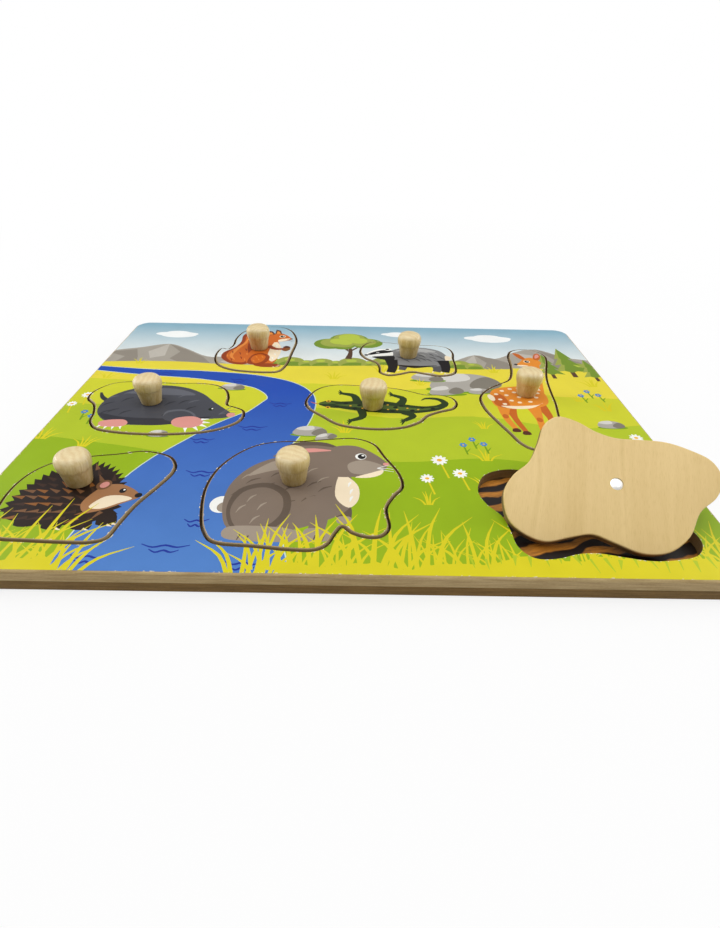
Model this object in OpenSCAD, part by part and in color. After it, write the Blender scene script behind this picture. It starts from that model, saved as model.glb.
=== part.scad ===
// Wooden peg puzzle: a frame board with eight sawn wells over a backing board, and eight inserts,
// each with a printed face, a turned knob and a rivet. The bee insert lies turned over on its well.
// The origin is the middle of the board's underside. X runs to the right, Y to the back, Z up.

/* [Board] */
// Width of the board, left to right
board_w = 300; // [290:1:330]
// Depth of the board, front to back
board_d = 235; // [228:1:260]
// Radius of the board's four corners
corner_r = 9; // [4:0.5:14]
// Thickness of the backing board
backing_t = 5; // [3:0.1:6]
// Thickness of the frame board that the wells are sawn in
frame_t = 4.6; // [4.3:0.1:6]
// Rounding along the frame board's upper rim
frame_edge_r = 1; // [0.5:0.1:1.6]
// Rounding along the backing board's lower rim
backing_edge_r = 0.6; // [0.3:0.1:1.2]
// Thickness of the printed sheets
sheet_t = 0.1; // [0.08:0.01:0.2]
// Gap between a well's printed floor and the well's wall
floor_sheet_gap = 0.2; // [0.1:0.05:0.4]

/* [Inserts] */
// Thickness of an insert without its printed sheet
insert_t = 5; // [4.8:0.1:6.5]
// Rounding along both rims of an insert
insert_edge_r = 0.6; // [0.3:0.1:0.9]
// Gap that the saw leaves between an insert and its well
saw_gap = 1; // [0.6:0.1:1.2]
// Points on each span of a sawn outline
outline_steps = 4; // [3:1:5]

/* [Sizes of the sawn outlines] */
// Width of the squirrel outline
squirrel_w = 48.4; // [46:0.1:50]
// Depth of the squirrel outline
squirrel_d = 71.8; // [68:0.1:73]
// Width of the badger outline
badger_w = 59.4; // [56:0.1:62]
// Depth of the badger outline
badger_d = 49.9; // [47:0.1:52]
// Width of the mole outline
mole_w = 85.4; // [82:0.1:88]
// Depth of the mole outline
mole_d = 54.6; // [52:0.1:57]
// Width of the lizard outline
lizard_w = 81.6; // [78:0.1:84]
// Depth of the lizard outline
lizard_d = 47.1; // [45:0.1:49]
// Width of the fawn outline
fawn_w = 51.8; // [49:0.1:54]
// Depth of the fawn outline
fawn_d = 117.9; // [113:0.1:121]
// Width of the hedgehog outline
hedgehog_w = 63.3; // [60:0.1:65]
// Depth of the hedgehog outline
hedgehog_d = 60.2; // [57:0.1:62]
// Width of the rabbit outline
rabbit_w = 83.4; // [80:0.1:86]
// Depth of the rabbit outline
rabbit_d = 76; // [72:0.1:78]
// Width of the bee outline
bee_w = 79.4; // [76:0.1:82]
// Depth of the bee outline
bee_d = 54.4; // [52:0.1:56]

/* [Knobs] */
// Height of a knob
knob_h = 15; // [13:0.1:20]
// Radius of the knob's foot
knob_foot_r = 5.3; // [4.8:0.1:6]
// Rounding of the knob's foot
knob_foot_round = 0.8; // [0.4:0.1:1.2]
// Radius at the crease between the neck and the head
knob_crease_r = 6.5; // [6.1:0.1:6.9]
// Height of the crease
knob_crease_h = 7.8; // [6:0.1:9]
// Largest radius of the knob's head
knob_head_r = 7.2; // [7:0.1:8]
// Height of the head's largest radius
knob_head_h = 11; // [10:0.1:12]
// Radius of the knob's flat top
knob_top_r = 4.6; // [4:0.1:5]
// Rise of the top's shallow dome
knob_dome = 0.4; // [0.2:0.1:0.8]

/* [Rivets] */
// Diameter of the rivet's head
rivet_head_d = 4.9; // [4.4:0.1:6]
// Thickness of the rivet's head at its rim
rivet_head_t = 0.5; // [0.4:0.1:1]
// Rise of the head's dome
rivet_dome = 0.3; // [0.2:0.1:0.5]
// Diameter of the rivet's shank
rivet_shank_d = 2.4; // [2:0.1:3]
// Reach of the shank into the knob
rivet_reach = 9; // [6:0.1:11]
// Depth of the shank's point
rivet_point = 1.2; // [0.8:0.1:2]
// Gap between the rivet and the wood
rivet_fit = 0.05; // [0.03:0.01:0.1]

/* [Bee insert, turned over on its well] */
// Tilt of the insert toward the front
loose_tilt = 34.4; // [31:0.1:36]
// Lean of the insert toward its left
loose_lean = 6.2; // [4:0.1:8]
// Turn of the insert on the board
loose_turn = 20.8; // [18:0.1:23]
// Place of the insert to the right of its well's middle
loose_x = 7.1; // [6:0.1:8]
// Place of the insert in front of its well's middle
loose_y = 3.2; // [2.5:0.1:4]
// Gap under the lowest points of the insert
loose_gap = 0.1; // [0.05:0.01:0.3]

/* [Hidden] */
$fn = 48;
// Overrun that carries a cut past the face it opens
overrun = 0.5;
// Steps along a rounded rim, and along each arc of the knob's profile
rim_steps = 2;
arc_steps = 6;

floor_z = backing_t + sheet_t;
frame_top_z = backing_t + frame_t;
insert_top_z = insert_t + sheet_t;
rivet_bore_r = rivet_shank_d / 2 + rivet_fit;
rivet_seat = rivet_dome + rivet_head_t + rivet_fit;

// The eight pieces, as places in the tables below
squirrel = 0;
badger = 1;
mole = 2;
lizard = 3;
fawn = 4;
hedgehog = 5;
rabbit = 6;
bee = 7;
ALL_PIECES = [squirrel, badger, mole, lizard, fawn, hedgehog, rabbit, bee];

// Width and depth of each sawn outline
piece_size = [[squirrel_w, squirrel_d], [badger_w, badger_d], [mole_w, mole_d], [lizard_w, lizard_d],
    [fawn_w, fawn_d], [hedgehog_w, hedgehog_d], [rabbit_w, rabbit_d], [bee_w, bee_d]];
// Middle of each well, as shares of the board's width and depth
place_shares = [[-0.202, 0.325], [0.117, 0.274], [-0.324, -0.007], [0.057, 0.012],
    [0.325, 0.095], [-0.359, -0.311], [-0.059, -0.286], [0.320, -0.341]];
// Each knob's place on its insert, as shares of the insert's width and depth
knob_shares = [[0.03, -0.02], [0.01, 0.05], [-0.09, 0.08], [-0.06, -0.03],
    [0.01, -0.03], [-0.08, 0.10], [-0.06, 0.05], [0.02, -0.07]];

// Points that each sawn outline passes through, anticlockwise, as shares of its width and depth
squirrel_shares = [[0.5, 0.125], [0.46, 0.285], [0.38, 0.41], [0.25, 0.485], [0.05, 0.5],
    [-0.155, 0.46], [-0.29, 0.345], [-0.34, 0.19], [-0.335, 0.05], [-0.38, -0.04],
    [-0.465, -0.03], [-0.5, -0.13], [-0.48, -0.265], [-0.395, -0.38], [-0.225, -0.46],
    [0.02, -0.495], [0.26, -0.5], [0.385, -0.465], [0.45, -0.32], [0.475, -0.11]];
badger_shares = [[-0.32, 0.5], [-0.425, 0.44], [-0.49, 0.285], [-0.5, 0.115], [-0.44, -0.045],
    [-0.335, -0.155], [-0.305, -0.29], [-0.3, -0.425], [-0.215, -0.5], [-0.095, -0.46],
    [0.025, -0.4], [0.16, -0.45], [0.27, -0.49], [0.385, -0.47], [0.465, -0.38],
    [0.485, -0.185], [0.485, 0.005], [0.5, 0.185], [0.45, 0.345], [0.305, 0.41],
    [0.135, 0.41], [-0.025, 0.43], [-0.17, 0.47]];
mole_shares = [[-0.01, 0.485], [-0.17, 0.495], [-0.335, 0.5], [-0.435, 0.44], [-0.5, 0.285],
    [-0.5, 0.13], [-0.435, 0.015], [-0.395, -0.145], [-0.375, -0.3], [-0.305, -0.425],
    [-0.17, -0.48], [-0.01, -0.5], [0.155, -0.49], [0.32, -0.445], [0.435, -0.35],
    [0.5, -0.22], [0.495, -0.06], [0.43, 0.015], [0.38, 0.06], [0.37, 0.205],
    [0.335, 0.355], [0.255, 0.46], [0.13, 0.495]];
lizard_shares = [[-0.465, -0.105], [-0.38, -0.255], [-0.28, -0.415], [-0.15, -0.485], [0, -0.5],
    [0.13, -0.455], [0.23, -0.345], [0.29, -0.205], [0.37, -0.115], [0.465, -0.035],
    [0.5, 0.095], [0.475, 0.225], [0.395, 0.29], [0.3, 0.29], [0.21, 0.36],
    [0.11, 0.43], [-0.025, 0.47], [-0.16, 0.495], [-0.305, 0.5], [-0.415, 0.415],
    [-0.48, 0.235], [-0.5, 0.045]];
fawn_shares = [[-0.01, -0.495], [0.135, -0.435], [0.205, -0.34], [0.235, -0.23], [0.28, -0.115],
    [0.305, -0.005], [0.34, 0.115], [0.395, 0.22], [0.465, 0.32], [0.5, 0.415],
    [0.415, 0.48], [0.26, 0.5], [0.105, 0.47], [0.035, 0.4], [0.01, 0.3],
    [-0.03, 0.2], [-0.1, 0.12], [-0.24, 0.07], [-0.395, 0.01], [-0.5, -0.07],
    [-0.495, -0.175], [-0.42, -0.285], [-0.345, -0.375], [-0.28, -0.455], [-0.175, -0.5]];
hedgehog_shares = [[0.22, 0.5], [0.06, 0.46], [-0.115, 0.425], [-0.27, 0.385], [-0.395, 0.3],
    [-0.475, 0.16], [-0.5, -0.025], [-0.475, -0.225], [-0.43, -0.39], [-0.335, -0.475],
    [-0.175, -0.49], [0.03, -0.5], [0.205, -0.5], [0.3, -0.455], [0.33, -0.315],
    [0.37, -0.14], [0.445, 0.05], [0.5, 0.21], [0.495, 0.33], [0.41, 0.445]];
rabbit_shares = [[0.25, 0.5], [0.095, 0.485], [-0.04, 0.46], [-0.195, 0.445], [-0.315, 0.395],
    [-0.415, 0.28], [-0.48, 0.13], [-0.5, -0.05], [-0.475, -0.245], [-0.435, -0.38],
    [-0.365, -0.46], [-0.195, -0.48], [-0.03, -0.5], [0.075, -0.5], [0.135, -0.46],
    [0.17, -0.375], [0.2, -0.33], [0.245, -0.375], [0.315, -0.405], [0.38, -0.395],
    [0.42, -0.325], [0.41, -0.185], [0.45, -0.08], [0.5, 0.01], [0.485, 0.14],
    [0.415, 0.305], [0.36, 0.435]];
bee_shares = [[-0.25, 0.5], [-0.37, 0.48], [-0.455, 0.395], [-0.5, 0.22], [-0.475, 0.065],
    [-0.415, -0.07], [-0.395, -0.23], [-0.385, -0.39], [-0.325, -0.49], [-0.225, -0.49],
    [-0.12, -0.445], [-0.02, -0.435], [0.095, -0.47], [0.215, -0.5], [0.335, -0.485],
    [0.44, -0.44], [0.5, -0.32], [0.485, -0.165], [0.42, -0.02], [0.39, 0.17],
    [0.31, 0.325], [0.19, 0.39], [0.055, 0.37], [-0.045, 0.355], [-0.135, 0.415]];
outline_shares = [squirrel_shares, badger_shares, mole_shares, lizard_shares,
    fawn_shares, hedgehog_shares, rabbit_shares, bee_shares];

// One span of a closed curve through the points p, from point i, at t from 0 to 1
function span_point(p, i, t) =
    let (n = len(p), a = p[(i + n - 1) % n], b = p[i], c = p[(i + 1) % n], d = p[(i + 2) % n])
    b + t * (c - a) / 2 + t * t * (2 * a - 5 * b + 4 * c - d) / 2
        + t * t * t * (3 * b - a - 3 * c + d) / 2;

// The middle of the saw's cut round piece i, about the piece's own middle
function sawn_line(i) =
    let (p = [for (s = outline_shares[i]) [s.x * piece_size[i].x, s.y * piece_size[i].y]])
    [for (k = [0 : len(p) - 1], j = [0 : outline_steps - 1]) span_point(p, k, j / outline_steps)];

// A closed anticlockwise line moved outward by the distance away, along its own normals
function moved_out(line, away) =
    let (n = len(line))
    [for (k = [0 : n - 1])
        let (along = line[(k + 1) % n] - line[(k + n - 1) % n])
        line[k] + away * [along.y, -along.x] / norm(along)];

function insert_line(i, inward = 0) = moved_out(sawn_line(i), -saw_gap / 2 - inward);
function well_line(i, inward = 0) = moved_out(sawn_line(i), saw_gap / 2 - inward);

function piece_place(i) = [place_shares[i].x * board_w, place_shares[i].y * board_d];
function knob_place(i) = [knob_shares[i].x * piece_size[i].x, knob_shares[i].y * piece_size[i].y];

// Rings of an insert's rounded body, as [inward, height] from the back to the printed side
rim_angles = [for (k = [0 : rim_steps]) 90 * k / rim_steps];
insert_rings = concat(
    [for (a = rim_angles) insert_edge_r * [1 - sin(a), 1 - cos(a)]],
    [for (a = rim_angles) [0, insert_t] + insert_edge_r * [1 - cos(a), sin(a) - 1]]);
function insert_points(i) =
    [for (ring = insert_rings, p = insert_line(i, ring.x)) [p.x, p.y, ring.y]];

// Profile of a knob from its foot to its top, as [radius, height]
foot_arc = [for (k = [0 : arc_steps])
    let (a = 90 * k / arc_steps)
    [knob_foot_r - knob_foot_round * (1 - sin(a)), knob_foot_round * (1 - cos(a))]];
head_lower_arc = [for (k = [0 : arc_steps])
    let (a = 90 * k / arc_steps)
    [knob_crease_r + (knob_head_r - knob_crease_r) * sin(a),
        knob_head_h - (knob_head_h - knob_crease_h) * cos(a)]];
head_upper_arc = [for (k = [1 : arc_steps])
    let (a = 90 * k / arc_steps)
    [knob_top_r + (knob_head_r - knob_top_r) * cos(a),
        knob_head_h + (knob_h - knob_dome - knob_head_h) * sin(a)]];
top_dome = [for (k = [1 : arc_steps])
    let (share = 1 - k / arc_steps)
    [knob_top_r * share, knob_h - knob_dome * share * share]];
knob_profile = concat([[0, 0]], foot_arc, head_lower_arc, head_upper_arc, top_dome);

// Directions of the turned bee insert: its height above the board at a point of its own frame
function about_x(a) = [[1, 0, 0], [0, cos(a), -sin(a)], [0, sin(a), cos(a)]];
function about_y(a) = [[cos(a), 0, sin(a)], [0, 1, 0], [-sin(a), 0, cos(a)]];
function about_z(a) = [[cos(a), -sin(a), 0], [sin(a), cos(a), 0], [0, 0, 1]];
turned_over = 180;
loose_frame = about_y(-loose_lean) * about_x(loose_tilt) * about_z(-loose_turn) * about_x(turned_over);
function loose_height(p) = (loose_frame * p).z;
knob_slope = sqrt(1 - pow(loose_frame[2].z, 2));
knob_lowest = min([for (p = knob_profile)
    loose_height(concat(knob_place(bee), [insert_top_z + p.y])) - p.x * knob_slope]);
insert_lowest = min([for (p = insert_points(bee)) loose_height(p)]);
loose_z = floor_z + loose_gap - min(knob_lowest, insert_lowest);

// A flat rounded rectangle
module board_outline(w, d, r) {
    square([w - 2 * r, d], center = true);
    square([w, d - 2 * r], center = true);
    for (x = [-1, 1], y = [-1, 1])
        translate([x * (w / 2 - r), y * (d / 2 - r)]) circle(r);
}

// A board whose upper rim is rounded, from its flat underside at z = 0
module eased_board(w, d, t, r, edge_r) {
    linear_extrude(t - edge_r) board_outline(w, d, r);
    linear_extrude(t) board_outline(w - 2 * edge_r, d - 2 * edge_r, r - edge_r);
    translate([0, 0, t - edge_r]) {
        for (y = [-1, 1])
            translate([0, y * (d / 2 - edge_r), 0])
                rotate([0, 90, 0]) cylinder(h = w - 2 * r, r = edge_r, center = true);
        for (x = [-1, 1])
            translate([x * (w / 2 - edge_r), 0, 0])
                rotate([90, 0, 0]) cylinder(h = d - 2 * r, r = edge_r, center = true);
        for (x = [-1, 1], y = [-1, 1])
            translate([x * (w / 2 - r), y * (d / 2 - r), 0])
                rotate_extrude() translate([r - edge_r, 0]) circle(edge_r);
    }
}

module all_wells() {
    for (i = ALL_PIECES) translate(piece_place(i)) polygon(well_line(i));
}

module backing_board() {
    color("Peru")
        translate([0, 0, backing_t]) mirror([0, 0, 1])
            eased_board(board_w, board_d, backing_t, corner_r, backing_edge_r);
}

module frame_board() {
    color("Tan")
        translate([0, 0, backing_t]) difference() {
            eased_board(board_w, board_d, frame_t, corner_r, frame_edge_r);
            translate([0, 0, -overrun]) linear_extrude(frame_t + 2 * overrun) all_wells();
        }
}

module face_print() {
    color("YellowGreen")
        translate([0, 0, frame_top_z]) linear_extrude(sheet_t) difference() {
            board_outline(board_w - 2 * frame_edge_r, board_d - 2 * frame_edge_r, corner_r - frame_edge_r);
            all_wells();
        }
}

module well_print() {
    color("SaddleBrown")
        translate([0, 0, backing_t]) linear_extrude(sheet_t)
            for (i = ALL_PIECES) translate(piece_place(i)) polygon(well_line(i, floor_sheet_gap));
}

// An insert sawn from plywood, both rims rounded, with the rivet's hole and its sunk seat
module insert(i) {
    n = len(insert_line(i));
    last = len(insert_rings) - 1;
    sides = [for (r = [0 : last - 1], k = [0 : n - 1])
        [r * n + k, (r + 1) * n + k, (r + 1) * n + (k + 1) % n, r * n + (k + 1) % n]];
    back = [for (k = [0 : n - 1]) k];
    front = [for (k = [n - 1 : -1 : 0]) last * n + k];
    color("BurlyWood") difference() {
        polyhedron(points = insert_points(i), faces = concat([back], sides, [front]), convexity = 8);
        translate(knob_place(i)) {
            translate([0, 0, -overrun]) cylinder(h = insert_t + 2 * overrun, r = rivet_bore_r);
            translate([0, 0, -overrun]) cylinder(h = overrun + rivet_seat, r = rivet_head_d / 2 + rivet_fit);
        }
    }
}

module insert_print(i, shade) {
    color(shade) translate([0, 0, insert_t]) linear_extrude(sheet_t) difference() {
        polygon(insert_line(i, insert_edge_r));
        translate(knob_place(i)) circle(rivet_bore_r);
    }
}

// A turned knob: a tapered neck, a crease and a barrel head with a shallow dome
module knob(i) {
    color("Wheat") translate(concat(knob_place(i), [insert_top_z])) difference() {
        rotate_extrude() polygon(knob_profile);
        translate([0, 0, -overrun]) cylinder(h = overrun + rivet_reach + rivet_fit, r = rivet_bore_r);
    }
}

// A rivet driven from the back through the insert into the knob
module rivet(i) {
    shank_r = rivet_shank_d / 2;
    head_r = rivet_head_d / 2;
    tip = insert_top_z + rivet_reach;
    dome = [for (k = [0 : arc_steps])
        let (share = k / arc_steps)
        [head_r * share, rivet_dome * share * share]];
    color("Silver") translate(knob_place(i)) rotate_extrude()
        polygon(concat(dome, [[head_r, rivet_dome + rivet_head_t], [shank_r, rivet_dome + rivet_head_t],
            [shank_r, tip - rivet_point], [0, tip]]));
}

// Puts a piece in its well, or the bee turned over across its own well
module placed(i) {
    if (i == bee)
        translate(concat(piece_place(i) + [loose_x, -loose_y], [loose_z]))
            rotate([0, -loose_lean, 0]) rotate([loose_tilt, 0, 0]) rotate([0, 0, -loose_turn])
                rotate([turned_over, 0, 0]) children();
    else
        translate(concat(piece_place(i), [floor_z])) children();
}

backing_board();
frame_board();
face_print();
well_print();
placed(squirrel) insert(squirrel);  // squirrel_insert
placed(squirrel) insert_print(squirrel, "Chocolate");  // squirrel_print
placed(squirrel) knob(squirrel);  // squirrel_knob
placed(squirrel) rivet(squirrel);  // squirrel_rivet
placed(badger) insert(badger);  // badger_insert
placed(badger) insert_print(badger, "LightGray");  // badger_print
placed(badger) knob(badger);  // badger_knob
placed(badger) rivet(badger);  // badger_rivet
placed(mole) insert(mole);  // mole_insert
placed(mole) insert_print(mole, "DimGray");  // mole_print
placed(mole) knob(mole);  // mole_knob
placed(mole) rivet(mole);  // mole_rivet
placed(lizard) insert(lizard);  // lizard_insert
placed(lizard) insert_print(lizard, "DarkOliveGreen");  // lizard_print
placed(lizard) knob(lizard);  // lizard_knob
placed(lizard) rivet(lizard);  // lizard_rivet
placed(fawn) insert(fawn);  // fawn_insert
placed(fawn) insert_print(fawn, "DarkOrange");  // fawn_print
placed(fawn) knob(fawn);  // fawn_knob
placed(fawn) rivet(fawn);  // fawn_rivet
placed(hedgehog) insert(hedgehog);  // hedgehog_insert
placed(hedgehog) insert_print(hedgehog, "Sienna");  // hedgehog_print
placed(hedgehog) knob(hedgehog);  // hedgehog_knob
placed(hedgehog) rivet(hedgehog);  // hedgehog_rivet
placed(rabbit) insert(rabbit);  // rabbit_insert
placed(rabbit) insert_print(rabbit, "RosyBrown");  // rabbit_print
placed(rabbit) knob(rabbit);  // rabbit_knob
placed(rabbit) rivet(rabbit);  // rabbit_rivet
placed(bee) insert(bee);  // bee_insert
placed(bee) insert_print(bee, "Gold");  // bee_print
placed(bee) knob(bee);  // bee_knob
placed(bee) rivet(bee);  // bee_rivet
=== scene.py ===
import math
import bpy
import numpy as np
from mathutils import Matrix, Vector
from mathutils.geometry import delaunay_2d_cdt


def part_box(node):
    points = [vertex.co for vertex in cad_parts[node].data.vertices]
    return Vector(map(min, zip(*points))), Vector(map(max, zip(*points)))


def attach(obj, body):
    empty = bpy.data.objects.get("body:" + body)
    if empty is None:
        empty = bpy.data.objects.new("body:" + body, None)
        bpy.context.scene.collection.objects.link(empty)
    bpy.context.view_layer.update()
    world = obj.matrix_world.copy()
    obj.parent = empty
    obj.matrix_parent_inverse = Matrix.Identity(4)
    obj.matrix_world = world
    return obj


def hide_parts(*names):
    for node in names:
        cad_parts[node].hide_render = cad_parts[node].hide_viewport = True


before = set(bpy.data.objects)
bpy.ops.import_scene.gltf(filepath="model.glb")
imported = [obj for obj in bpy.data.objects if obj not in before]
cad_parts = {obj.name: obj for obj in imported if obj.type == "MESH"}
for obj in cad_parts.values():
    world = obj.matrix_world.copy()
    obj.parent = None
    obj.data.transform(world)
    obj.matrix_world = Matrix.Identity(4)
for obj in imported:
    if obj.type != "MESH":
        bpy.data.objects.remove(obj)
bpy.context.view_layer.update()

# The table and the light. The board lies on a white sheet that runs out of sight, under a bright soft
# ceiling, one broad lamp overhead, one to each side and a small one in front. The camera stands close,
# over the front edge.
MM = 0.001
WHITE = (1.0, 1.0, 1.0, 1.0)
TABLE_REACH = 25.0
TABLE_WHITE = (0.9, 0.9, 0.9, 1.0)
# How the sheet's own share of light rises from under the board to the open table
TABLE_FADE = (0.17, 0.6)
TABLE_OWN_LIGHT = (0.8, 1.0)
CEILING_LIGHT = 0.95
CEILING_FALL = 2.0
WALL_LIGHT = 0.06
CAMERA_PLACE = (0.00354, -0.24485, 0.14952)
CAMERA_LENS = 20.59
CAMERA_NEAREST = 0.01
CAMERA_DOWN = 0.62259
CAMERA_YAW = -0.01072
CAMERA_ROLL = 0.02324
# Each lamp: place, size, watts
LAMPS = {"overhead": ((-0.15, -0.05, 1.1), 1.1, 4.8),
         "front": ((0.55, -0.35, 1.05), 0.45, 0.8),
         "left": ((-1.15, 0.36, 0.42), 0.7, 5.8),
         "right": ((1.15, 0.36, 0.42), 0.7, 5.6)}


def node(tree, kind, inputs=None, **settings):
    """A shader node with its settings, and its inputs set to values or joined to sockets"""
    made = tree.nodes.new("ShaderNode" + kind)
    for name, value in settings.items():
        setattr(made, name, value)
    for name, value in (inputs or {}).items():
        if isinstance(value, bpy.types.NodeSocket):
            tree.links.new(value, made.inputs[name])
        else:
            made.inputs[name].default_value = value
    return made


def maths(tree, operation, *values):
    """The result of one sum on values and sockets"""
    return node(tree, "Math", dict(enumerate(values)), operation=operation).outputs[0]


def spread(tree, value, low, high, to_low=0.0, to_high=1.0):
    """A value spread from low..high to to_low..to_high and held inside it"""
    return node(tree, "MapRange", {"Value": value, "From Min": low, "From Max": high, "To Min": to_low,
                                   "To Max": to_high}).outputs["Result"]


def new_material(name):
    """An empty node material, its tree and its output node"""
    made = bpy.data.materials.new(name)
    made.use_nodes = True
    made.node_tree.nodes.clear()
    return made, made.node_tree, node(made.node_tree, "OutputMaterial")


def put_in_scene(name, data):
    """An object for a mesh, a lamp or the camera"""
    made = bpy.data.objects.new(name, data)
    bpy.context.scene.collection.objects.link(made)
    return made


def white_paper():
    """A white sheet that the camera sees near white, and that still keeps a soft shadow"""
    made, tree, output = new_material("white_paper")
    path = node(tree, "LightPath")
    seen = maths(tree, "MAXIMUM", path.outputs["Is Camera Ray"], path.outputs["Is Glossy Ray"])
    seen = maths(tree, "MAXIMUM", seen, path.outputs["Is Transmission Ray"])
    away = node(tree, "VectorMath", {0: node(tree, "TexCoord").outputs["Object"]}, operation="LENGTH")
    own = spread(tree, away.outputs["Value"], *TABLE_FADE, *TABLE_OWN_LIGHT)
    share = maths(tree, "MULTIPLY", seen, own)
    paper = node(tree, "BsdfDiffuse", {"Color": TABLE_WHITE})
    glow = node(tree, "Emission", {"Color": WHITE, "Strength": 1.0})
    mix = node(tree, "MixShader", {0: share, 1: paper.outputs[0], 2: glow.outputs[0]})
    tree.links.new(mix.outputs[0], output.inputs["Surface"])
    return made


def table():
    corners = [(x * TABLE_REACH, y * TABLE_REACH, 0) for x, y in ((-1, -1), (1, -1), (1, 1), (-1, 1))]
    mesh = bpy.data.meshes.new("table")
    mesh.from_pydata(corners, [], [(0, 1, 2, 3)])
    mesh.materials.append(white_paper())
    put_in_scene("table", mesh)


def sky():
    """The bright ceiling that falls off to dim walls, and the plain white that the camera sees"""
    world = bpy.data.worlds.new("studio")
    bpy.context.scene.world = world
    world.use_nodes = True
    tree = world.node_tree
    tree.nodes.clear()
    path = node(tree, "LightPath")
    upward = node(tree, "SeparateXYZ", {0: node(tree, "TexCoord").outputs["Generated"]})
    above = maths(tree, "MAXIMUM", upward.outputs["Z"], 0.0)
    rise = maths(tree, "POWER", above, CEILING_FALL)
    lit = maths(tree, "MULTIPLY_ADD", rise, CEILING_LIGHT - WALL_LIGHT, WALL_LIGHT)
    strength = node(tree, "Mix", {0: path.outputs["Is Camera Ray"], 2: lit, 3: 1.0})
    light = node(tree, "Background", {"Color": WHITE, "Strength": strength.outputs[0]})
    tree.links.new(light.outputs[0], node(tree, "OutputWorld").inputs["Surface"])


def lamps():
    for name, (place, size, watts) in LAMPS.items():
        light = bpy.data.lights.new(name, "AREA")
        light.size = size
        light.energy = watts
        made = put_in_scene(name, light)
        made.location = place
        made.rotation_euler = (-Vector(place)).to_track_quat("-Z", "Y").to_euler()


def camera():
    seen = bpy.data.cameras.new("camera")
    seen.lens = CAMERA_LENS
    seen.clip_start = CAMERA_NEAREST
    made = put_in_scene("camera", seen)
    aim = (Matrix.Rotation(CAMERA_YAW, 4, "Z") @ Matrix.Rotation(math.pi / 2 - CAMERA_DOWN, 4, "X")
           @ Matrix.Rotation(CAMERA_ROLL, 4, "Z"))
    made.matrix_world = Matrix.Translation(CAMERA_PLACE) @ aim
    bpy.context.scene.camera = made


table()
sky()
lamps()
camera()
bpy.context.scene.view_settings.view_transform = "Standard"

# The backing board: the darker of the two boards, under the whole puzzle and glued to the frame board.
# Its sawn edge is all that shows, with the fibres lying in long flat streaks.
BACKING_EDGE = ((138, 104, 42), (98, 72, 22))


def linear(colour):
    """A colour read as 0 to 255 on screen, as linear light with full alpha"""
    shares = [c / 255 for c in colour]
    return tuple(c / 12.92 if c <= 0.04045 else ((c + 0.055) / 1.055) ** 2.4 for c in shares) + (1.0,)


def group(name, inputs, outputs):
    """A node group with named sockets, given as name: kind, and its input and output nodes"""
    tree = bpy.data.node_groups.new(name, "ShaderNodeTree")
    for side, sockets in (("INPUT", inputs), ("OUTPUT", outputs)):
        for socket, kind in sockets.items():
            tree.interface.new_socket(socket, in_out=side, socket_type="NodeSocket" + kind)
    return tree, tree.nodes.new("NodeGroupInput").outputs, tree.nodes.new("NodeGroupOutput").inputs


def give(tree, out, **values):
    """Joins the results of a group to its output sockets"""
    for name, value in values.items():
        tree.links.new(value, out[name])


def use(tree, pattern, inputs):
    """One of the node groups placed in a material"""
    return node(tree, "Group", inputs, node_tree=pattern).outputs


def noise(tree, place, stretch, scale, detail=3.0, roughness=0.55):
    """Noise over a place in metres, with its axes stretched, at scale patches a metre"""
    moved = node(tree, "Mapping", {"Vector": place, "Scale": stretch})
    return node(tree, "TexNoise", {"Vector": moved.outputs[0], "Scale": scale, "Detail": detail,
                                   "Roughness": roughness}).outputs["Fac"]


def summed(tree, *parts):
    """Values, each times its share, added up"""
    total = maths(tree, "MULTIPLY", *parts[0])
    for value, share in parts[1:]:
        total = maths(tree, "MULTIPLY_ADD", value, share, total)
    return total


def mixed(tree, share, first, second):
    """Two colours mixed by a share from 0 to 1"""
    return node(tree, "Mix", {0: share, 6: first, 7: second}, data_type="RGBA").outputs[2]


def toned(tree, share, tones):
    """The first of two tones, taken towards the second by a share"""
    return mixed(tree, share, linear(tones[0]), linear(tones[1]))


def fibre_streaks():
    """Long streaks and fine fibres of a sawn board edge: a share of the dark tone, and a height"""
    tree, given, out = group("fibre_streaks", {"Place": "Vector"}, {"Dark": "Float", "Height": "Float"})
    place = given["Place"]
    streaks = noise(tree, place, (0.05, 0.05, 1.0), 1400)
    fibres = noise(tree, place, (0.25, 0.25, 1.0), 4200)
    patches = noise(tree, place, (1, 1, 1), 60, 2)
    both = summed(tree, (spread(tree, streaks, 0.35, 0.65), 0.5), (spread(tree, fibres, 0.3, 0.7), 0.3))
    give(tree, out, Dark=maths(tree, "MULTIPLY_ADD", patches, 0.3, both), Height=both)
    return tree


FIBRES = fibre_streaks()


def surface(tree, output, colour, roughness, height, relief, **constants):
    """A Principled surface with its colour, roughness and relief in metres joined, the rest constant"""
    made = node(tree, "BsdfPrincipled", {"Base Color": colour, "Roughness": roughness})
    for name, value in constants.items():
        made.inputs[name.replace("_", " ")].default_value = value
    bump = node(tree, "Bump", {"Height": height, "Distance": relief, "Strength": 1.0})
    tree.links.new(bump.outputs[0], made.inputs["Normal"])
    tree.links.new(made.outputs[0], output.inputs["Surface"])


def object_place(tree):
    return node(tree, "TexCoord").outputs["Object"]


def board_edge(name, tones, painted_shade_over=None):
    """A board's sawn and sanded edge in two tones, with painted shade over them where it has one"""
    made, tree, output = new_material(name)
    fibres = use(tree, FIBRES, {"Place": object_place(tree)})
    colour = toned(tree, fibres["Dark"], tones)
    if painted_shade_over:
        colour = painted_shade_over(tree, colour)
    rough = spread(tree, fibres["Dark"], 0, 1, 0.5, 0.68)
    surface(tree, output, colour, rough, fibres["Height"], 0.06 * MM, Specular_IOR_Level=0.35)
    return made


def dress(name, material):
    """A CAD node that stays as it is and takes a material in each of its slots"""
    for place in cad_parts[name].material_slots:
        place.material = material


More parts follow.
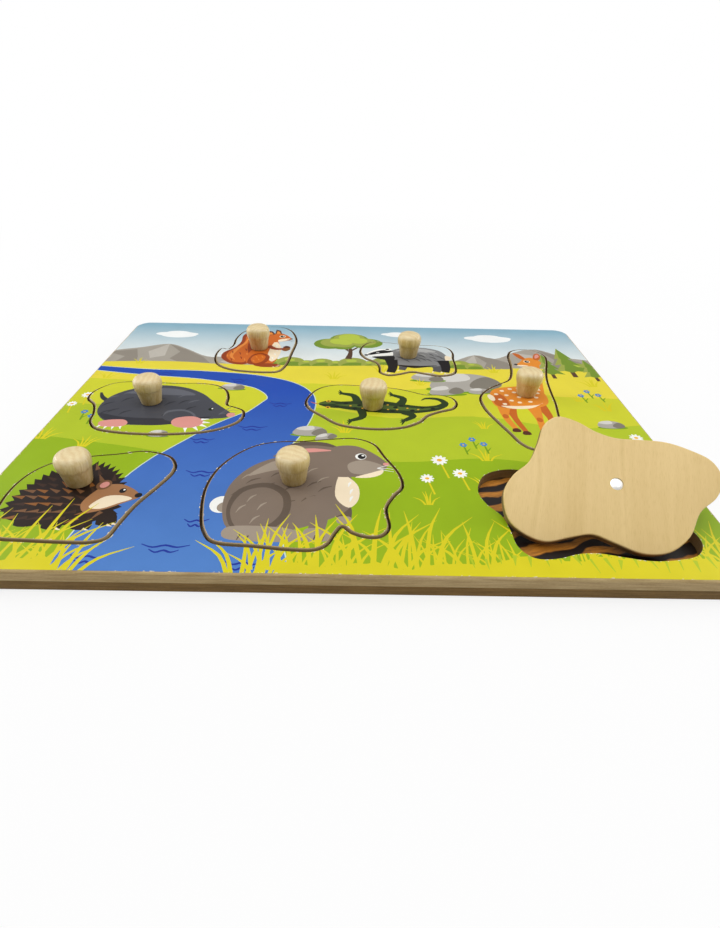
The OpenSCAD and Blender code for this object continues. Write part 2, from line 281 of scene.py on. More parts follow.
dress("backing_board", board_edge("backing_edge", BACKING_EDGE))

# The frame board: a lighter board with the eight wells sawn through it, eased along its upper rim.
# Its edge shows grey brown, and the walls of the wells, which show through the saw's cut, carry painted
# shade.
FRAME_EDGE = ((200, 176, 128), (158, 131, 84))
# Painted shade: a dark brown laid over the walls of the wells, which stand in shade
WALL_PAINTED_SHADE = (92, 46, 8)
WALL_SHADE_SHARE = 0.55
FRAME_HALF = [(high - low) / 2 for low, high in zip(*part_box("frame_board"))]
OUTER_RIM = (1.6 * MM, 1.2 * MM)


def shaded_walls(tree, colour):
    """The edge's colour, with painted shade over the walls of the wells wherever they aren't near the board's
    outer rim
    """
    sides = node(tree, "SeparateXYZ", {0: object_place(tree)})
    shares = []
    for axis, half in zip("XY", FRAME_HALF):
        away = maths(tree, "ABSOLUTE", sides.outputs[axis])
        shares.append(spread(tree, away, half - OUTER_RIM[0], half - OUTER_RIM[1], WALL_SHADE_SHARE, 0.0))
    return mixed(tree, maths(tree, "MINIMUM", *shares), colour, linear(WALL_PAINTED_SHADE))


dress("frame_board", board_edge("frame_edge", FRAME_EDGE, shaded_walls))

# The eight pieces and how each lies. Seven sit in their wells. The bee is turned over across its own
# well, so what is made for it in its seat is turned by the same angles as the solid.
PIECES = ["squirrel", "badger", "mole", "lizard", "fawn", "hedgehog", "rabbit", "bee"]
BEE_TILT = 34.4
BEE_LEAN = 6.2
BEE_TURN = 20.8
RIM_SPLIT = 2
# Corners this near the top lie in the flat face, and points this near each other are one, in millimetres
FLAT_WITHIN = 0.01
SAME_PLACE = 1e-6
# A seated piece's middle lies nearer than this to the middle of its well
SEATED_WITHIN = 5


def turn_of(piece):
    """The rotation that carries a piece from its seat to where it lies"""
    if piece != "bee":
        return np.eye(3)
    angles = ((-BEE_LEAN, "Y"), (BEE_TILT, "X"), (-BEE_TURN, "Z"), (180, "X"))
    turned = Matrix.Identity(3)
    for degrees, axis in angles:
        turned = turned @ Matrix.Rotation(math.radians(degrees), 3, axis)
    return np.array(turned)


def corners_of(name, turn=None):
    """A CAD node's vertices in millimetres, turned back to the seat"""
    found = np.array([v.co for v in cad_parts[name].data.vertices]) / MM
    return found if turn is None else found @ turn


def rims(name, turn=None):
    """The closed outlines of a node's upper flat face, anticlockwise, longest first, and its height"""
    places = corners_of(name, turn)
    top = places[:, 2].max()
    keys = [tuple(p) for p in np.round(places, 3)]
    edges = {}
    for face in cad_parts[name].data.polygons:
        if all(places[i, 2] > top - FLAT_WITHIN for i in face.vertices):
            loop = [keys[i][:2] for i in face.vertices]
            edges.update(dict.fromkeys(zip(loop, loop[1:] + loop[:1])))
    outside = {a: b for a, b in edges if (b, a) not in edges and a != b}
    found = []
    while outside:
        line = [next(iter(outside))]
        while line[-1] in outside:
            line.append(outside.pop(line[-1]))
        found.append(np.array(line[:-1]))
    found.sort(key=lambda line: -np.abs(np.diff(line, axis=0)).sum())
    return found, top


def bend(before, start, end, beyond, t):
    """The place a share t of the way from start to end, on the smooth line through all four"""
    return (start + t * (end - before) / 2 + t * t * (2 * before - 5 * start + 4 * end - beyond) / 2
            + t ** 3 * (3 * start - before - 3 * end + beyond) / 2)


def curve(points, steps=5):
    """A smooth closed line through the points; a point given twice makes a corner"""
    p = np.array(points, float)
    around = (np.roll(p, 1, 0), p, np.roll(p, -1, 0), np.roll(p, -2, 0))
    line = np.stack([bend(*around, t) for t in np.arange(steps) / steps], 1).reshape(-1, 2)
    return line[np.abs(line - np.roll(line, 1, 0)).sum(1) > SAME_PLACE]


def middle_of(line):
    return (line.min(0) + line.max(0)) / 2


def nearest_to(middle, lines):
    """The line whose middle lies nearest to a place"""
    return min(lines, key=lambda line: np.abs(middle_of(line) - middle).max())


face_lines, face_top = rims("face_print")
board_line, well_lines = face_lines[0], [curve(line[::-1], RIM_SPLIT) for line in face_lines[1:]]
TURNS = {piece: turn_of(piece) for piece in PIECES}
PRINTS = {piece: rims(piece + "_print", TURNS[piece]) for piece in PIECES}
seated_middles = {piece: middle_of(PRINTS[piece][0][0]) for piece in PIECES if piece != "bee"}
spare = [line for line in well_lines
         if min(np.abs(middle_of(line) - m).max() for m in seated_middles.values()) > SEATED_WITHIN]
WELL_MIDDLES = dict(seated_middles, bee=middle_of(spare[0]))
WELLS = {piece: nearest_to(WELL_MIDDLES[piece], well_lines) for piece in PIECES}


def to_board(piece, line):
    """Places on a piece's own print, as places on the board when the piece is in its seat"""
    return line - middle_of(PRINTS[piece][0][0]) + WELL_MIDDLES[piece]


PRINT_LINES = {piece: to_board(piece, curve(PRINTS[piece][0][0], RIM_SPLIT)) for piece in PIECES}
WIDTHS = {piece: np.ptp(PRINT_LINES[piece], axis=0)[0] for piece in PIECES}

# The inserts: sawn from light plywood, both rims sanded round. The faces show a rotary-cut veneer with
# faint upright figure, the sawn edge the plies, and the back the sunk seat of the rivet. The edge's upper
# part and the rim on the print side carry painted shade, for the shade in the saw's cut and under the turned
# piece.
VENEER = ((243, 213, 150), (217, 183, 116))
GRAIN_LEAN = 0.16
PLY_EDGE = ((216, 188, 134), (124, 94, 56))
PLIES = 2
INSERT_THICK = 5 * MM
# Painted shade: a darker brown over the edge's upper part and the rim on the print side
EDGE_PAINTED_SHADE = (100, 86, 66)
EDGE_SHADE_RISE = (3.4 * MM, INSERT_THICK)
EDGE_SHADE_SHARE = 0.8
RIM_STEPS = 4
CREASE = math.radians(40)
# The rivet's seat in millimetres, and how far up from the back only the rivet's shank is left
SEAT_DEPTH = 0.85
RIVET_GAP = 0.05
SHANK_FROM = 2
SEAT_SIDES = 40
MERGE_WITHIN = 1e-5


def moved_out(line, away):
    """A closed anticlockwise line moved outward along its own normals"""
    along = np.roll(line, -1, 0) - np.roll(line, 1, 0)
    outward = np.stack([along[:, 1], -along[:, 0]], 1) / np.linalg.norm(along, axis=1)[:, None]
    return line + away * outward


def ring(middle, radius):
    angles = np.arange(SEAT_SIDES) * 2 * math.pi / SEAT_SIDES
    return middle + radius * np.stack([np.cos(angles), np.sin(angles)], 1)


def inside(line, places):
    """Which places lie inside a closed line"""
    x, y = places[:, 0][:, None], places[:, 1][:, None]
    a, b = line, np.roll(line, -1, 0)
    crosses = (a[:, 1] > y) != (b[:, 1] > y)
    with np.errstate(divide="ignore", invalid="ignore"):
        at = a[:, 0] + (y - a[:, 1]) * (b[:, 0] - a[:, 0]) / (b[:, 1] - a[:, 1])
    return (crosses & (x < at)).sum(1) % 2 == 1


def triangulated(lines, loose=()):
    """Closed lines, and loose points, as one sheet of triangles: its points, and its faces, all of them
    anticlockwise"""
    points, outlines = [], []
    for line in lines:
        outlines.append(list(range(len(points), len(points) + len(line))))
        points += [Vector(p) for p in line]
    points += [Vector(p) for p in loose]
    made = delaunay_2d_cdt(points, [], outlines, 1, MERGE_WITHIN)
    places = np.array([tuple(p) for p in made[0]])
    faces = np.array([f for f in made[2] if len(f) == 3], int)
    a, b, c = (places[faces[:, k]] for k in range(3))
    turned = np.cross(b - a, c - a) < 0
    faces[turned] = faces[turned][:, ::-1]
    return places, faces


def band(first, second, count):
    """Faces between two rings of the same count of points"""
    k = np.arange(count)
    after = (k + 1) % count
    return np.stack([first + k, first + after, second + after, second + k], 1).tolist()


def piece_of(name, places, faces, material, body, slot, smooth=True):
    """A mesh piece from places in millimetres, on a body, with its finish"""
    mesh = bpy.data.meshes.new(name)
    mesh.from_pydata((np.array(places) * MM).tolist(), [], faces)
    mesh.polygons.foreach_set("use_smooth", [smooth] * len(mesh.polygons))
    if smooth:
        mesh.set_sharp_from_angle(angle=CREASE)
    mesh.materials.append(material)
    made = put_in_scene(name, mesh)
    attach(made, body)
    return made


def mark(made, name, values, kind="FLOAT", domain="POINT", part="value"):
    """Keeps a named value at each of a piece's points or faces, for its material to read"""
    stored = made.data.attributes.new(name, kind, domain)
    stored.data.foreach_set(part, np.asarray(values, np.float32).ravel())


def veneer_grain():
    """Figure of a rotary-cut veneer: a share of the darker tone, and a height for the open pores"""
    tree, given, out = group("veneer_grain", {"Place": "Vector"}, {"Dark": "Float", "Height": "Float"})
    place = given["Place"]
    sway = noise(tree, place, (1, 0.4, 1), 22, 2)
    bent = node(tree, "VectorMath", {0: sway, 1: (0.016, 0, 0), 2: place},
                operation="MULTIPLY_ADD").outputs[0]
    broad = noise(tree, bent, (1, 0.07, 0.3), 55, 3)
    lines = noise(tree, bent, (1, 0.025, 0.3), 130, 2)
    streaks = noise(tree, bent, (1, 0.03, 0.3), 420)
    pores = noise(tree, place, (1, 0.08, 1), 3000, 2, 0.7)
    dark = summed(tree, (spread(tree, broad, 0.3, 0.7), 0.42), (spread(tree, lines, 0.58, 0.7), 0.38),
                  (spread(tree, streaks, 0.3, 0.7), 0.18), (spread(tree, pores, 0.5, 0.8), 0.42))
    give(tree, out, Dark=dark, Height=pores)
    return tree


VENEER_GRAIN = veneer_grain()


def plywood():
    """Veneer on the faces and plies on the edge, told apart by the mark that each point carries"""
    made, tree, output = new_material("insert_plywood")
    seat = node(tree, "Attribute", attribute_name="seat_place")
    facing = node(tree, "Attribute", attribute_name="on_face")
    leaned = node(tree, "Mapping", {"Vector": seat.outputs["Vector"], "Rotation": (0, 0, GRAIN_LEAN)})
    grain = use(tree, VENEER_GRAIN, {"Place": leaned.outputs[0]})
    face = toned(tree, grain["Dark"], VENEER)
    height = node(tree, "SeparateXYZ", {0: seat.outputs["Vector"]}).outputs["Z"]
    ply = maths(tree, "PINGPONG", maths(tree, "MULTIPLY", height, PLIES / INSERT_THICK), 1.0)
    fibres = use(tree, FIBRES, {"Place": seat.outputs["Vector"]})
    shade = summed(tree, (spread(tree, ply, 0.35, 0.65), 0.55), (fibres["Dark"], 0.45))
    edge = toned(tree, shade, PLY_EDGE)
    # Painted shade: the edge darkened from 3.4 mm up to the print side, where the cut lies in shade
    edge = mixed(tree, spread(tree, height, *EDGE_SHADE_RISE, 0.0, EDGE_SHADE_SHARE), edge, linear(EDGE_PAINTED_SHADE))
    colour = mixed(tree, facing.outputs["Fac"], edge, face)
    rough = spread(tree, grain["Dark"], 0, 1, 0.42, 0.58)
    surface(tree, output, colour, rough, grain["Height"], 0.02 * MM, Specular_IOR_Level=0.4)
    return made


PLYWOOD = plywood()


def insert(piece):
    """The sanded plywood body of a piece, with the rivet's hole and sunk seat in its back"""
    turn = TURNS[piece]
    solid = corners_of(piece + "_insert", turn)
    rivet = corners_of(piece + "_rivet", turn)
    print_line = curve(PRINTS[piece][0][0], RIM_SPLIT)
    count = len(print_line)
    back, front = solid[:, 2].min(), solid[:, 2].max()
    rounding = (np.ptp(solid[:, 0]) - np.ptp(print_line[:, 0])) / 2
    angles = np.linspace(0, math.pi / 2, RIM_STEPS + 1)
    profile = [(1 - math.sin(a), back + rounding * (1 - math.cos(a))) for a in angles]
    profile += [(1 - math.cos(a), front - rounding * (1 - math.sin(a))) for a in angles]
    places, faces = [], []
    for share, height in profile:
        places += [(x, y, height) for x, y in moved_out(print_line, rounding * (1 - share))]
    for k in range(len(profile) - 1):
        faces += band(k * count, (k + 1) * count, count)
    start = len(places)
    middle = middle_of(rivet[:, :2])
    seat = ring(middle, np.ptp(rivet[:, 0]) / 2 + RIVET_GAP)
    bore = ring(middle, np.ptp(rivet[rivet[:, 2] > back + SHANK_FROM][:, 0]) / 2 + RIVET_GAP)
    hole = [(seat, back), (seat, back + SEAT_DEPTH), (bore, back + SEAT_DEPTH), (bore, front)]
    for line, height in hole:
        places += [(x, y, height) for x, y in line]
    for k in range(len(hole) - 1):
        faces += [f[::-1] for f in band(start + k * SEAT_SIDES, start + (k + 1) * SEAT_SIDES, SEAT_SIDES)]
    places = np.array(places)
    front_rim, front_hole = start - count, start + 3 * SEAT_SIDES
    for rim_at, hole_at, line in ((0, start, seat), (front_rim, front_hole, bore)):
        rim = places[rim_at:rim_at + count, :2]
        points, cap = triangulated([rim, line])
        centres = points[cap].mean(1)
        cap = cap[inside(rim, centres) & ~inside(line, centres)]
        known = np.concatenate([rim, line])
        names = np.concatenate([rim_at + np.arange(count), hole_at + np.arange(SEAT_SIDES)])
        nearest = [names[np.abs(known - p).sum(1).argmin()] for p in points]
        flat = [[int(nearest[i]) for i in f] for f in cap]
        faces += flat if rim_at else [f[::-1] for f in flat]
    made = piece_of(piece + "_wood", places @ turn.T, faces, PLYWOOD, piece + "_piece", "insert_wood")
    seat_place = np.column_stack([to_board(piece, places[:, :2]), places[:, 2] - back]) * MM
    mark(made, "seat_place", seat_place, kind="FLOAT_VECTOR", part="vector")
    on_face = np.zeros(len(places))
    on_face[:RIM_STEPS * count] = 1.0
    on_face[front_rim:start + SEAT_SIDES] = 1.0
    on_face[front_hole:] = 1.0
    mark(made, "on_face", on_face)
    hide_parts(piece + "_insert")


for piece in PIECES:
    insert(piece)

# The knobs: beech, turned with an upright grain and sanded, waxed rather than varnished. The end grain
# shows on the flat top, in pale tones that also paint the light on the top, and the stem and the crease
# under the head carry painted shade, yellowed like the print's reflected light.
KNOB_WOOD = ((243, 223, 172), (204, 168, 88))
# Painted shade, tinted with the print's reflected yellow, for the crease and the lower stem
KNOB_PAINTED_SHADE = (128, 96, 10)
# End grain rings in pale tones that also paint the light on the knob's flat top
END_GRAIN_AND_HIGHLIGHT = ((243, 226, 184), (232, 208, 160))
END_GRAIN_HIGHLIGHT_SHARE = 0.6
KNOB_CREASE = 7.6 * MM
CREASE_REACH = 1.4 * MM
KNOB_HEAD = 12.6 * MM
KNOB_TOP = 13.6 * MM
KNOB_GRAIN_LEAN = 0.12


def turned_beech():
    """Beech turned upright, for a place and the height of the knob's foot: colour, roughness, height"""
    tree, given, out = group("turned_beech", {"Place": "Vector", "Foot": "Float"},
                             {"Colour": "Color", "Roughness": "Float", "Height": "Float"})
    level = node(tree, "SeparateXYZ", {0: given["Place"]}).outputs["Z"]
    height = maths(tree, "SUBTRACT", level, given["Foot"])
    place = node(tree, "Mapping", {"Vector": given["Place"], "Rotation": (KNOB_GRAIN_LEAN, 0, 0)}).outputs[0]
    broad = noise(tree, place, (1, 1, 0.06), 260, 2)
    fine = noise(tree, place, (1, 1, 0.03), 1700)
    dark = summed(tree, (spread(tree, broad, 0.3, 0.7), 0.5), (spread(tree, fine, 0.35, 0.7), 0.4))
    wood = toned(tree, dark, KNOB_WOOD)
    # Painted shade: darker in the crease under the head and towards the foot
    from_crease = maths(tree, "ABSOLUTE", maths(tree, "SUBTRACT", height, KNOB_CREASE))
    crease_shade = spread(tree, from_crease, 0.0, CREASE_REACH, 0.05, 0.0)
    foot_shade = spread(tree, height, 0.0, KNOB_HEAD, 0.5, 0.0)
    knob_shade = maths(tree, "MULTIPLY", maths(tree, "ADD", crease_shade, foot_shade),
                 spread(tree, broad, 0.3, 0.6, 0.7, 1.0))
    shaded_wood = mixed(tree, knob_shade, wood, linear(KNOB_PAINTED_SHADE))
    rings = node(tree, "TexWave", {"Vector": place, "Scale": 120.0, "Distortion": 7.0, "Detail": 2.0},
                 wave_type="RINGS", rings_direction="Z")
    # The flat top: end grain, made paler as a painted highlight
    on_top = spread(tree, height, KNOB_HEAD, KNOB_TOP)
    sawn = toned(tree, rings.outputs["Fac"], END_GRAIN_AND_HIGHLIGHT)
    colour = mixed(tree, maths(tree, "MULTIPLY", on_top, END_GRAIN_HIGHLIGHT_SHARE), shaded_wood, sawn)
    give(tree, out, Colour=colour, Roughness=spread(tree, fine, 0.3, 0.7, 0.34, 0.48), Height=fine)
    return tree


BEECH = turned_beech()


def turned_wood(name, piece):
    """Beech for the knobs that stand as this piece's does, with its grain upright from the foot"""
    made, tree, output = new_material(name)
    foot = corners_of(piece + "_knob", TURNS[piece])[:, 2].min()
    back = Matrix(TURNS[piece].T.tolist()).to_euler()
    upright = node(tree, "Mapping", {"Vector": object_place(tree), "Rotation": tuple(back)})
    wood = use(tree, BEECH, {"Place": upright.outputs[0], "Foot": foot * MM})
    surface(tree, output, wood["Colour"], wood["Roughness"], wood["Height"], 0.03 * MM,
            Specular_IOR_Level=0.4, Coat_Weight=0.4, Coat_Roughness=0.3)
    return made


SEATED_KNOB = turned_wood("knob_beech", "rabbit")
TURNED_KNOB = turned_wood("knob_beech_turned", "bee")
for piece in PIECES:
    dress(piece + "_knob", TURNED_KNOB if piece == "bee" else SEATED_KNOB)

# The rivets: steel with a bright plating. The shallow head is sunk flush in the back of each insert,
# and the shank runs through into the knob.
RIVET_STEEL = (252, 251, 247)


def plated_steel():
    """Bright plating with fine scuffs in its tone and gloss"""
    made, tree, output = new_material("rivet_plating")
    scuffs = noise(tree, object_place(tree), (1, 1, 1), 5200, 2)
    tone = node(tree, "HueSaturation", {"Color": linear(RIVET_STEEL),
                                        "Value": spread(tree, scuffs, 0.3, 0.7, 0.97, 1.0)})
    rough = spread(tree, scuffs, 0.3, 0.7, 0.26, 0.36)
    surface(tree, output, tone.outputs[0], rough, scuffs, 0.001 * MM, Metallic=1.0)
    return made


RIVET_PLATING = plated_steel()
for piece in PIECES:
    dress(piece + "_rivet", RIVET_PLATING)

# The printed sheets: one country picture over the whole board, printed on coated paper and glued down
# before the saw went through it, so that it runs on across every insert. Each insert adds its animal.
INKS = {"sky_top": (138, 178, 196), "sky_low": (236, 240, 236), "cloud": (246, 248, 246),
        "hill": (168, 161, 149), "hill_shade": (146, 138, 126), "hill_light": (190, 184, 173),
        "wood_far": (158, 168, 74), "wood_near": (118, 146, 44), "wood_light": (182, 198, 70),
        "bark": (88, 62, 44), "straw": (230, 214, 62), "lime": (206, 208, 44), "leaf": (178, 196, 36),
        "grass": (148, 179, 14), "grass_deep": (118, 156, 16), "yellow": (217, 205, 25),
        "water_far": (31, 76, 175), "water_near": (78, 127, 197), "ripple": (28, 50, 150),
        "shore": (206, 222, 204),
        "stone": (172, 167, 158), "stone_light": (212, 209, 202), "stone_shade": (128, 122, 110),
        "white": (246, 246, 240), "black": (26, 22, 22), "blue_petal": (74, 136, 196),
        "russet": (206, 104, 34), "russet_deep": (150, 62, 24), "russet_light": (232, 142, 62),
        "cream": (246, 228, 196), "umber": (84, 40, 26), "nut": (140, 88, 40),
        "ash": (132, 132, 132), "ash_light": (176, 176, 174), "ash_deep": (84, 84, 86),
        "slate": (72, 73, 80), "slate_deep": (50, 50, 57), "slate_light": (98, 100, 108),
        "pink": (222, 150, 140), "pine": (40, 58, 24), "pine_light": (82, 104, 40), "pine_deep": (22, 32, 16),
        "amber": (228, 140, 44), "amber_deep": (196, 100, 30), "fur": (128, 112, 98),
        "fur_light": (160, 146, 130), "fur_deep": (98, 84, 72), "quill": (62, 40, 28),
        "quill_light": (122, 84, 54), "quill_deep": (36, 22, 16), "muzzle": (164, 116, 76),
        "honey": (240, 180, 40), "wing": (206, 222, 232), "wing_line": (150, 176, 196)}
picture = []
rng = np.random.default_rng(11)


def paint(ink, *outlines):
    """Adds outlines, in millimetres on the board, to the picture in an ink, over what is there"""
    for outline in outlines:
        picture.append((ink, np.array(outline)))


def ribbon(points, widths, steps=4):
    """A band of changing width along a smooth open line: a blade, a leg, a tail"""
    p = np.array(points, float)
    p = np.vstack([2 * p[0] - p[1], p, 2 * p[-1] - p[-2]])
    line = [bend(*p[k - 1:k + 3], t) for k in range(1, len(p) - 2) for t in np.arange(steps) / steps]
    line = np.array(line + [p[-2]])
    along = np.gradient(line, axis=0)
    across = np.stack([-along[:, 1], along[:, 0]], 1) / np.linalg.norm(along, axis=1)[:, None]
    half = np.interp(np.linspace(0, 1, len(line)), np.linspace(0, 1, len(widths)), widths)[:, None] / 2
    return np.vstack([line + across * half, (line - across * half)[::-1]])


def spun(shape, degrees):
    """A shape turned about its own middle"""
    a = math.radians(degrees)
    return np.array(shape) @ np.array([[math.cos(a), math.sin(a)], [-math.sin(a), math.cos(a)]])


def oval(x, y, wide, deep, turn=0.0, sides=20):
    """An oval about a middle, with its full width and depth, turned by degrees"""
    angles = np.arange(sides) * 2 * math.pi / sides
    return spun(np.stack([wide / 2 * np.cos(angles), deep / 2 * np.sin(angles)], 1), turn) + (x, y)


# The picture runs a little past the sheet's edge on every side
BLEED = 2
RIGHT, BACK = np.ptp(board_line, axis=0) / 2 + BLEED
LEFT, FRONT = -RIGHT, -BACK


def land(ink, horizon):
    """Ground from a far line, given left to right, down to the board's front edge"""
    far = list(zip(np.linspace(LEFT, RIGHT, len(horizon)), horizon))
    far = [(LEFT, horizon[0])] + far + [(RIGHT, horizon[-1])]
    there_and_back = ribbon(far, [0, 0])
    smooth = there_and_back[:len(there_and_back) // 2]
    paint(ink, np.vstack([smooth, [(RIGHT, FRONT), (LEFT, FRONT)]]))


def cloud(x, y, size):
    for dx, dy, w in ((-0.5, 0, 0.9), (0, 0.12, 1.1), (0.55, 0, 0.8), (0.1, -0.08, 1.6)):
        paint("cloud", oval(x + dx * size, y + dy * size, w * size, 0.42 * w * size))


def fir(x, y, high):
    paint("bark", ribbon([(x, y - high * 0.1), (x, y + high * 0.2)], [high * 0.08, high * 0.07]))
    for lift, wide in ((0.08, 0.52), (0.32, 0.42), (0.56, 0.3)):
        foot, tip = y + high * lift, y + high * (lift + 0.44)
        reach, dent = high * wide / 2, high * wide / 5
        paint("wood_near", [(x - reach, foot), (x, tip), (x + reach, foot), (x + dent, foot + high * 0.04),
                            (x, foot - high * 0.02), (x - dent, foot + high * 0.04)])
        paint("wood_far", [(x - reach, foot), (x, tip), (x - dent, foot + high * 0.04)])


def round_tree(x, y, high):
    paint("bark", ribbon([(x, y), (x + high * 0.03, y + high * 0.25), (x, y + high * 0.55)],
                         [high * 0.1, high * 0.06, high * 0.04]),
          ribbon([(x, y + high * 0.25), (x + high * 0.2, y + high * 0.5)], [high * 0.05, high * 0.02]),
          ribbon([(x, y + high * 0.3), (x - high * 0.18, y + high * 0.52)], [high * 0.05, high * 0.02]))
    for ink, shift, size in (("wood_near", 0.0, 1.0), ("wood_far", 0.05, 0.82), ("wood_light", 0.1, 0.55)):
        for dx, dy, w in ((-0.3, 0.55, 0.5), (0.28, 0.58, 0.5), (0, 0.72, 0.62), (-0.1, 0.5, 0.4)):
            wide = w * high * size
            paint(ink, oval(x + dx * high * size, y + high * (dy + shift), wide, 0.8 * wide))


def stone(x, y, wide, turn=0.0):
    """A boulder of three flat tones"""
    whole = [(-50, -12), (-42, 12), (-22, 26), (6, 28), (32, 20), (48, 2), (46, -16), (20, -24), (-26, -24)]
    shade = [(14, 6), (34, 16), (48, 2), (46, -16), (20, -24), (4, -12)]
    light = [(-42, 12), (-22, 26), (6, 28), (10, 10), (-16, 4)]
    for ink, shape in (("stone", whole), ("stone_shade", shade), ("stone_light", light)):
        paint(ink, curve(spun(shape, turn) * wide / 100 + (x, y), 3))


def tuft(x, y, high, blades, lean=0.0, stout=1.0):
    """Blades of grass that fan out from one place"""
    for k in range(blades):
        side = (k + 0.5) / blades * 2 - 1 + rng.uniform(-0.15, 0.15)
        tall = high * (1 - 0.45 * abs(side)) * rng.uniform(0.75, 1.1)
        reach = side * high * 0.55 + lean * tall
        base = x + side * high * 0.16
        paint("yellow", ribbon([(base, y), (base + reach * 0.35, y + tall * 0.6), (base + reach, y + tall)],
                               [high * 0.085 * stout, high * 0.065 * stout, 0.15], 3))


def daisy(x, y, size, stem):
    paint("yellow", ribbon([(x + stem * 0.2, y - stem), (x, y)], [0.9, 0.7], 3))
    for turn in range(0, 180, 36):
        paint("white", oval(x, y, size, size * 0.26, turn, 12))
    paint("honey", oval(x, y, size * 0.3, size * 0.26, 0, 10))


def ripple(x, y, wide):
    for lift, share in ((0, 1.0), (-2.6, 0.62)):
        w = wide * share
        paint("ripple", ribbon([(x - w / 2, y + lift + 1), (x - w / 4, y + lift - 0.6), (x, y + lift + 0.5),
                                (x + w / 4, y + lift - 0.5), (x + w / 2, y + lift + 0.7)],
                               [0.4, 0.95, 0.95, 0.4], 3))


def landscape():
    paint("sky", [(LEFT, FRONT), (RIGHT, FRONT), (RIGHT, BACK), (LEFT, BACK)])
    cloud(-118, 97, 15)
    cloud(30, 103, 11)
    cloud(92, 99, 17)
    paint("hill", curve([(-153, 48), (-153, 66), (-134, 74), (-118, 80), (-104, 72), (-90, 62), (-72, 59),
                         (-60, 48)], 4),
          curve([(46, 48), (60, 58), (78, 71), (90, 66), (104, 75), (120, 82), (136, 70), (153, 64),
                 (153, 48)], 4))
    paint("hill_shade", [(-118, 80), (-108, 68), (-112, 58), (-98, 48), (-84, 50), (-92, 61), (-104, 71)],
          [(-153, 66), (-140, 60), (-144, 50), (-130, 50), (-132, 60), (-136, 71)],
          [(78, 71), (84, 60), (80, 50), (96, 50), (98, 60), (90, 66)],
          [(120, 82), (128, 66), (122, 52), (140, 50), (144, 62), (136, 69)])
    paint("hill_light", [(-118, 80), (-128, 68), (-124, 58), (-116, 62)],
          [(104, 75), (108, 62), (116, 56), (118, 70)], [(-72, 59), (-80, 54), (-74, 50), (-68, 53)],
          [(78, 71), (70, 60), (72, 54), (78, 60)])
    for x, high in ((-46, 10), (-37, 16), (-27, 10), (-18, 14), (-9, 10), (1, 17), (12, 11), (22, 18),
                    (33, 11), (41, 15), (50, 10), (58, 13), (66, 15), (75, 10), (140, 14)):
        paint("wood_far", oval(x, 52 + high * 0.2, high * 1.1, high))
        paint("wood_near", oval(x + 1, 51, high, high * 0.7))
        paint("wood_light", oval(x - 1, 54 + high * 0.3, high * 0.4, high * 0.25))
    land("straw", (52, 54, 50, 51, 53, 50, 52, 50))
    land("lime", (30, 27, 22, 28, 22, 26, 18, 16))
    land("leaf", (2, -4, -10, 0, -10, -6, -16, -12))
    land("grass", (-30, -38, -46, -40, -48, -44, -50, -44))
    round_tree(-2, 62, 42)
    fir(134, 46, 38)
    fir(121, 43, 30)
    fir(146, 40, 27)
    stream = [(-156, 44), (-120, 39), (-84, 36), (-50, 28), (-33, 12), (-37, -12), (-54, -42), (-64, -76),
              (-62, -124)]
    widths = [5, 7, 10, 15, 25, 34, 50, 68, 88]
    paint("shore", ribbon(stream, [w + 1.1 for w in widths], 8))
    paint("water", ribbon(stream, widths, 8))
    for x, y, wide in ((-37, 4, 12), (-48, -20, 15), (-70, -32, 12), (-64, -58, 14), (-66, -104, 18),
                       (-92, -110, 13), (-36, -112, 14), (-58, -90, 10), (-108, 38, 12), (-64, 31, 10)):
        ripple(x, y, wide)
    for x, y, wide, turn in ((66, 32, 42, 6), (45, 38, 19, -8), (54, 22, 20, 10), (73, 22, 13, 0),
                             (-19, -23, 17, 0), (-11, -28, 11, 20), (-66, 22, 14, 0), (134, -12, 14, 0),
                             (-92, -28, 10, 0)):
        paint("grass_deep", oval(x, y - wide * 0.2, wide * 1.12, wide * 0.2))
        stone(x, y, wide, turn)
    for x, y in ((-140, 30), (-10, 34), (86, 46), (140, 30), (138, 2), (-2, -24), (68, -18), (-146, -34),
                 (40, 28), (64, -46), (34, -78), (126, 12), (-128, 50), (18, 44), (-124, -40), (60, -66)):
        tuft(x, y, rng.uniform(9, 14), 5)
    for x, y, size in ((42, -46, 8), (50, -56, 7), (35, -60, 6.5), (142, -24, 7), (-142, 10, 6.5),
                       (-146, 0, 5.5)):
        daisy(x, y, size, size * 1.7)
    for x, y in ((134, 24), (139, 20), (129, 19), (60, -28), (65, -32), (55, -33), (-136, -8), (-131, -12)):
        paint("grass_deep", ribbon([(x + 1, y - 8), (x, y)], [0.9, 0.7], 2),
              ribbon([(x + 0.8, y - 6), (x + 3, y - 3)], [0.8, 0.3], 2))
        for turn in (0, 60, 120):
            paint("blue_petal", oval(x, y, 4.2, 1.7, turn, 8))
        paint("honey", oval(x, y, 1.2, 1.1, 0, 6))


def front_grass():
    """The yellow ground and tall blades along the front edge, open where the stream runs out"""
    for left, right in ((LEFT, -104), (-24, RIGHT)):
        edge = [(x, -112 + 0.1 * min(max(x - 30, 0), 50) + 1.4 * math.sin(x * 0.21) + rng.uniform(-1, 1))
                for x in np.arange(left, right, 4)]
        paint("yellow", [(left, FRONT)] + edge + [(right + 6, FRONT)])
    for x in np.arange(-149, 149, 5.2):
        if -104 < x < -30:
            continue
        foot = x + rng.uniform(-2, 2)
        tuft(foot, -115, rng.uniform(18, 42), 4, rng.uniform(-0.25, 0.25), 0.55)
    for x, lean in ((-104, -0.1), (-98, 0.15), (-36, -0.2), (-28, 0.0)):
        tuft(x, -120, rng.uniform(26, 34), 5, lean, 0.7)
    for x in np.arange(46, 146, 5.5):
        top = rng.uniform(-108, -104)
        paint("leaf", ribbon([(x, top), (x + rng.uniform(-1.5, 1.5), top - rng.uniform(4, 7))],
                             [rng.uniform(1.0, 1.8), 0.2], 2))


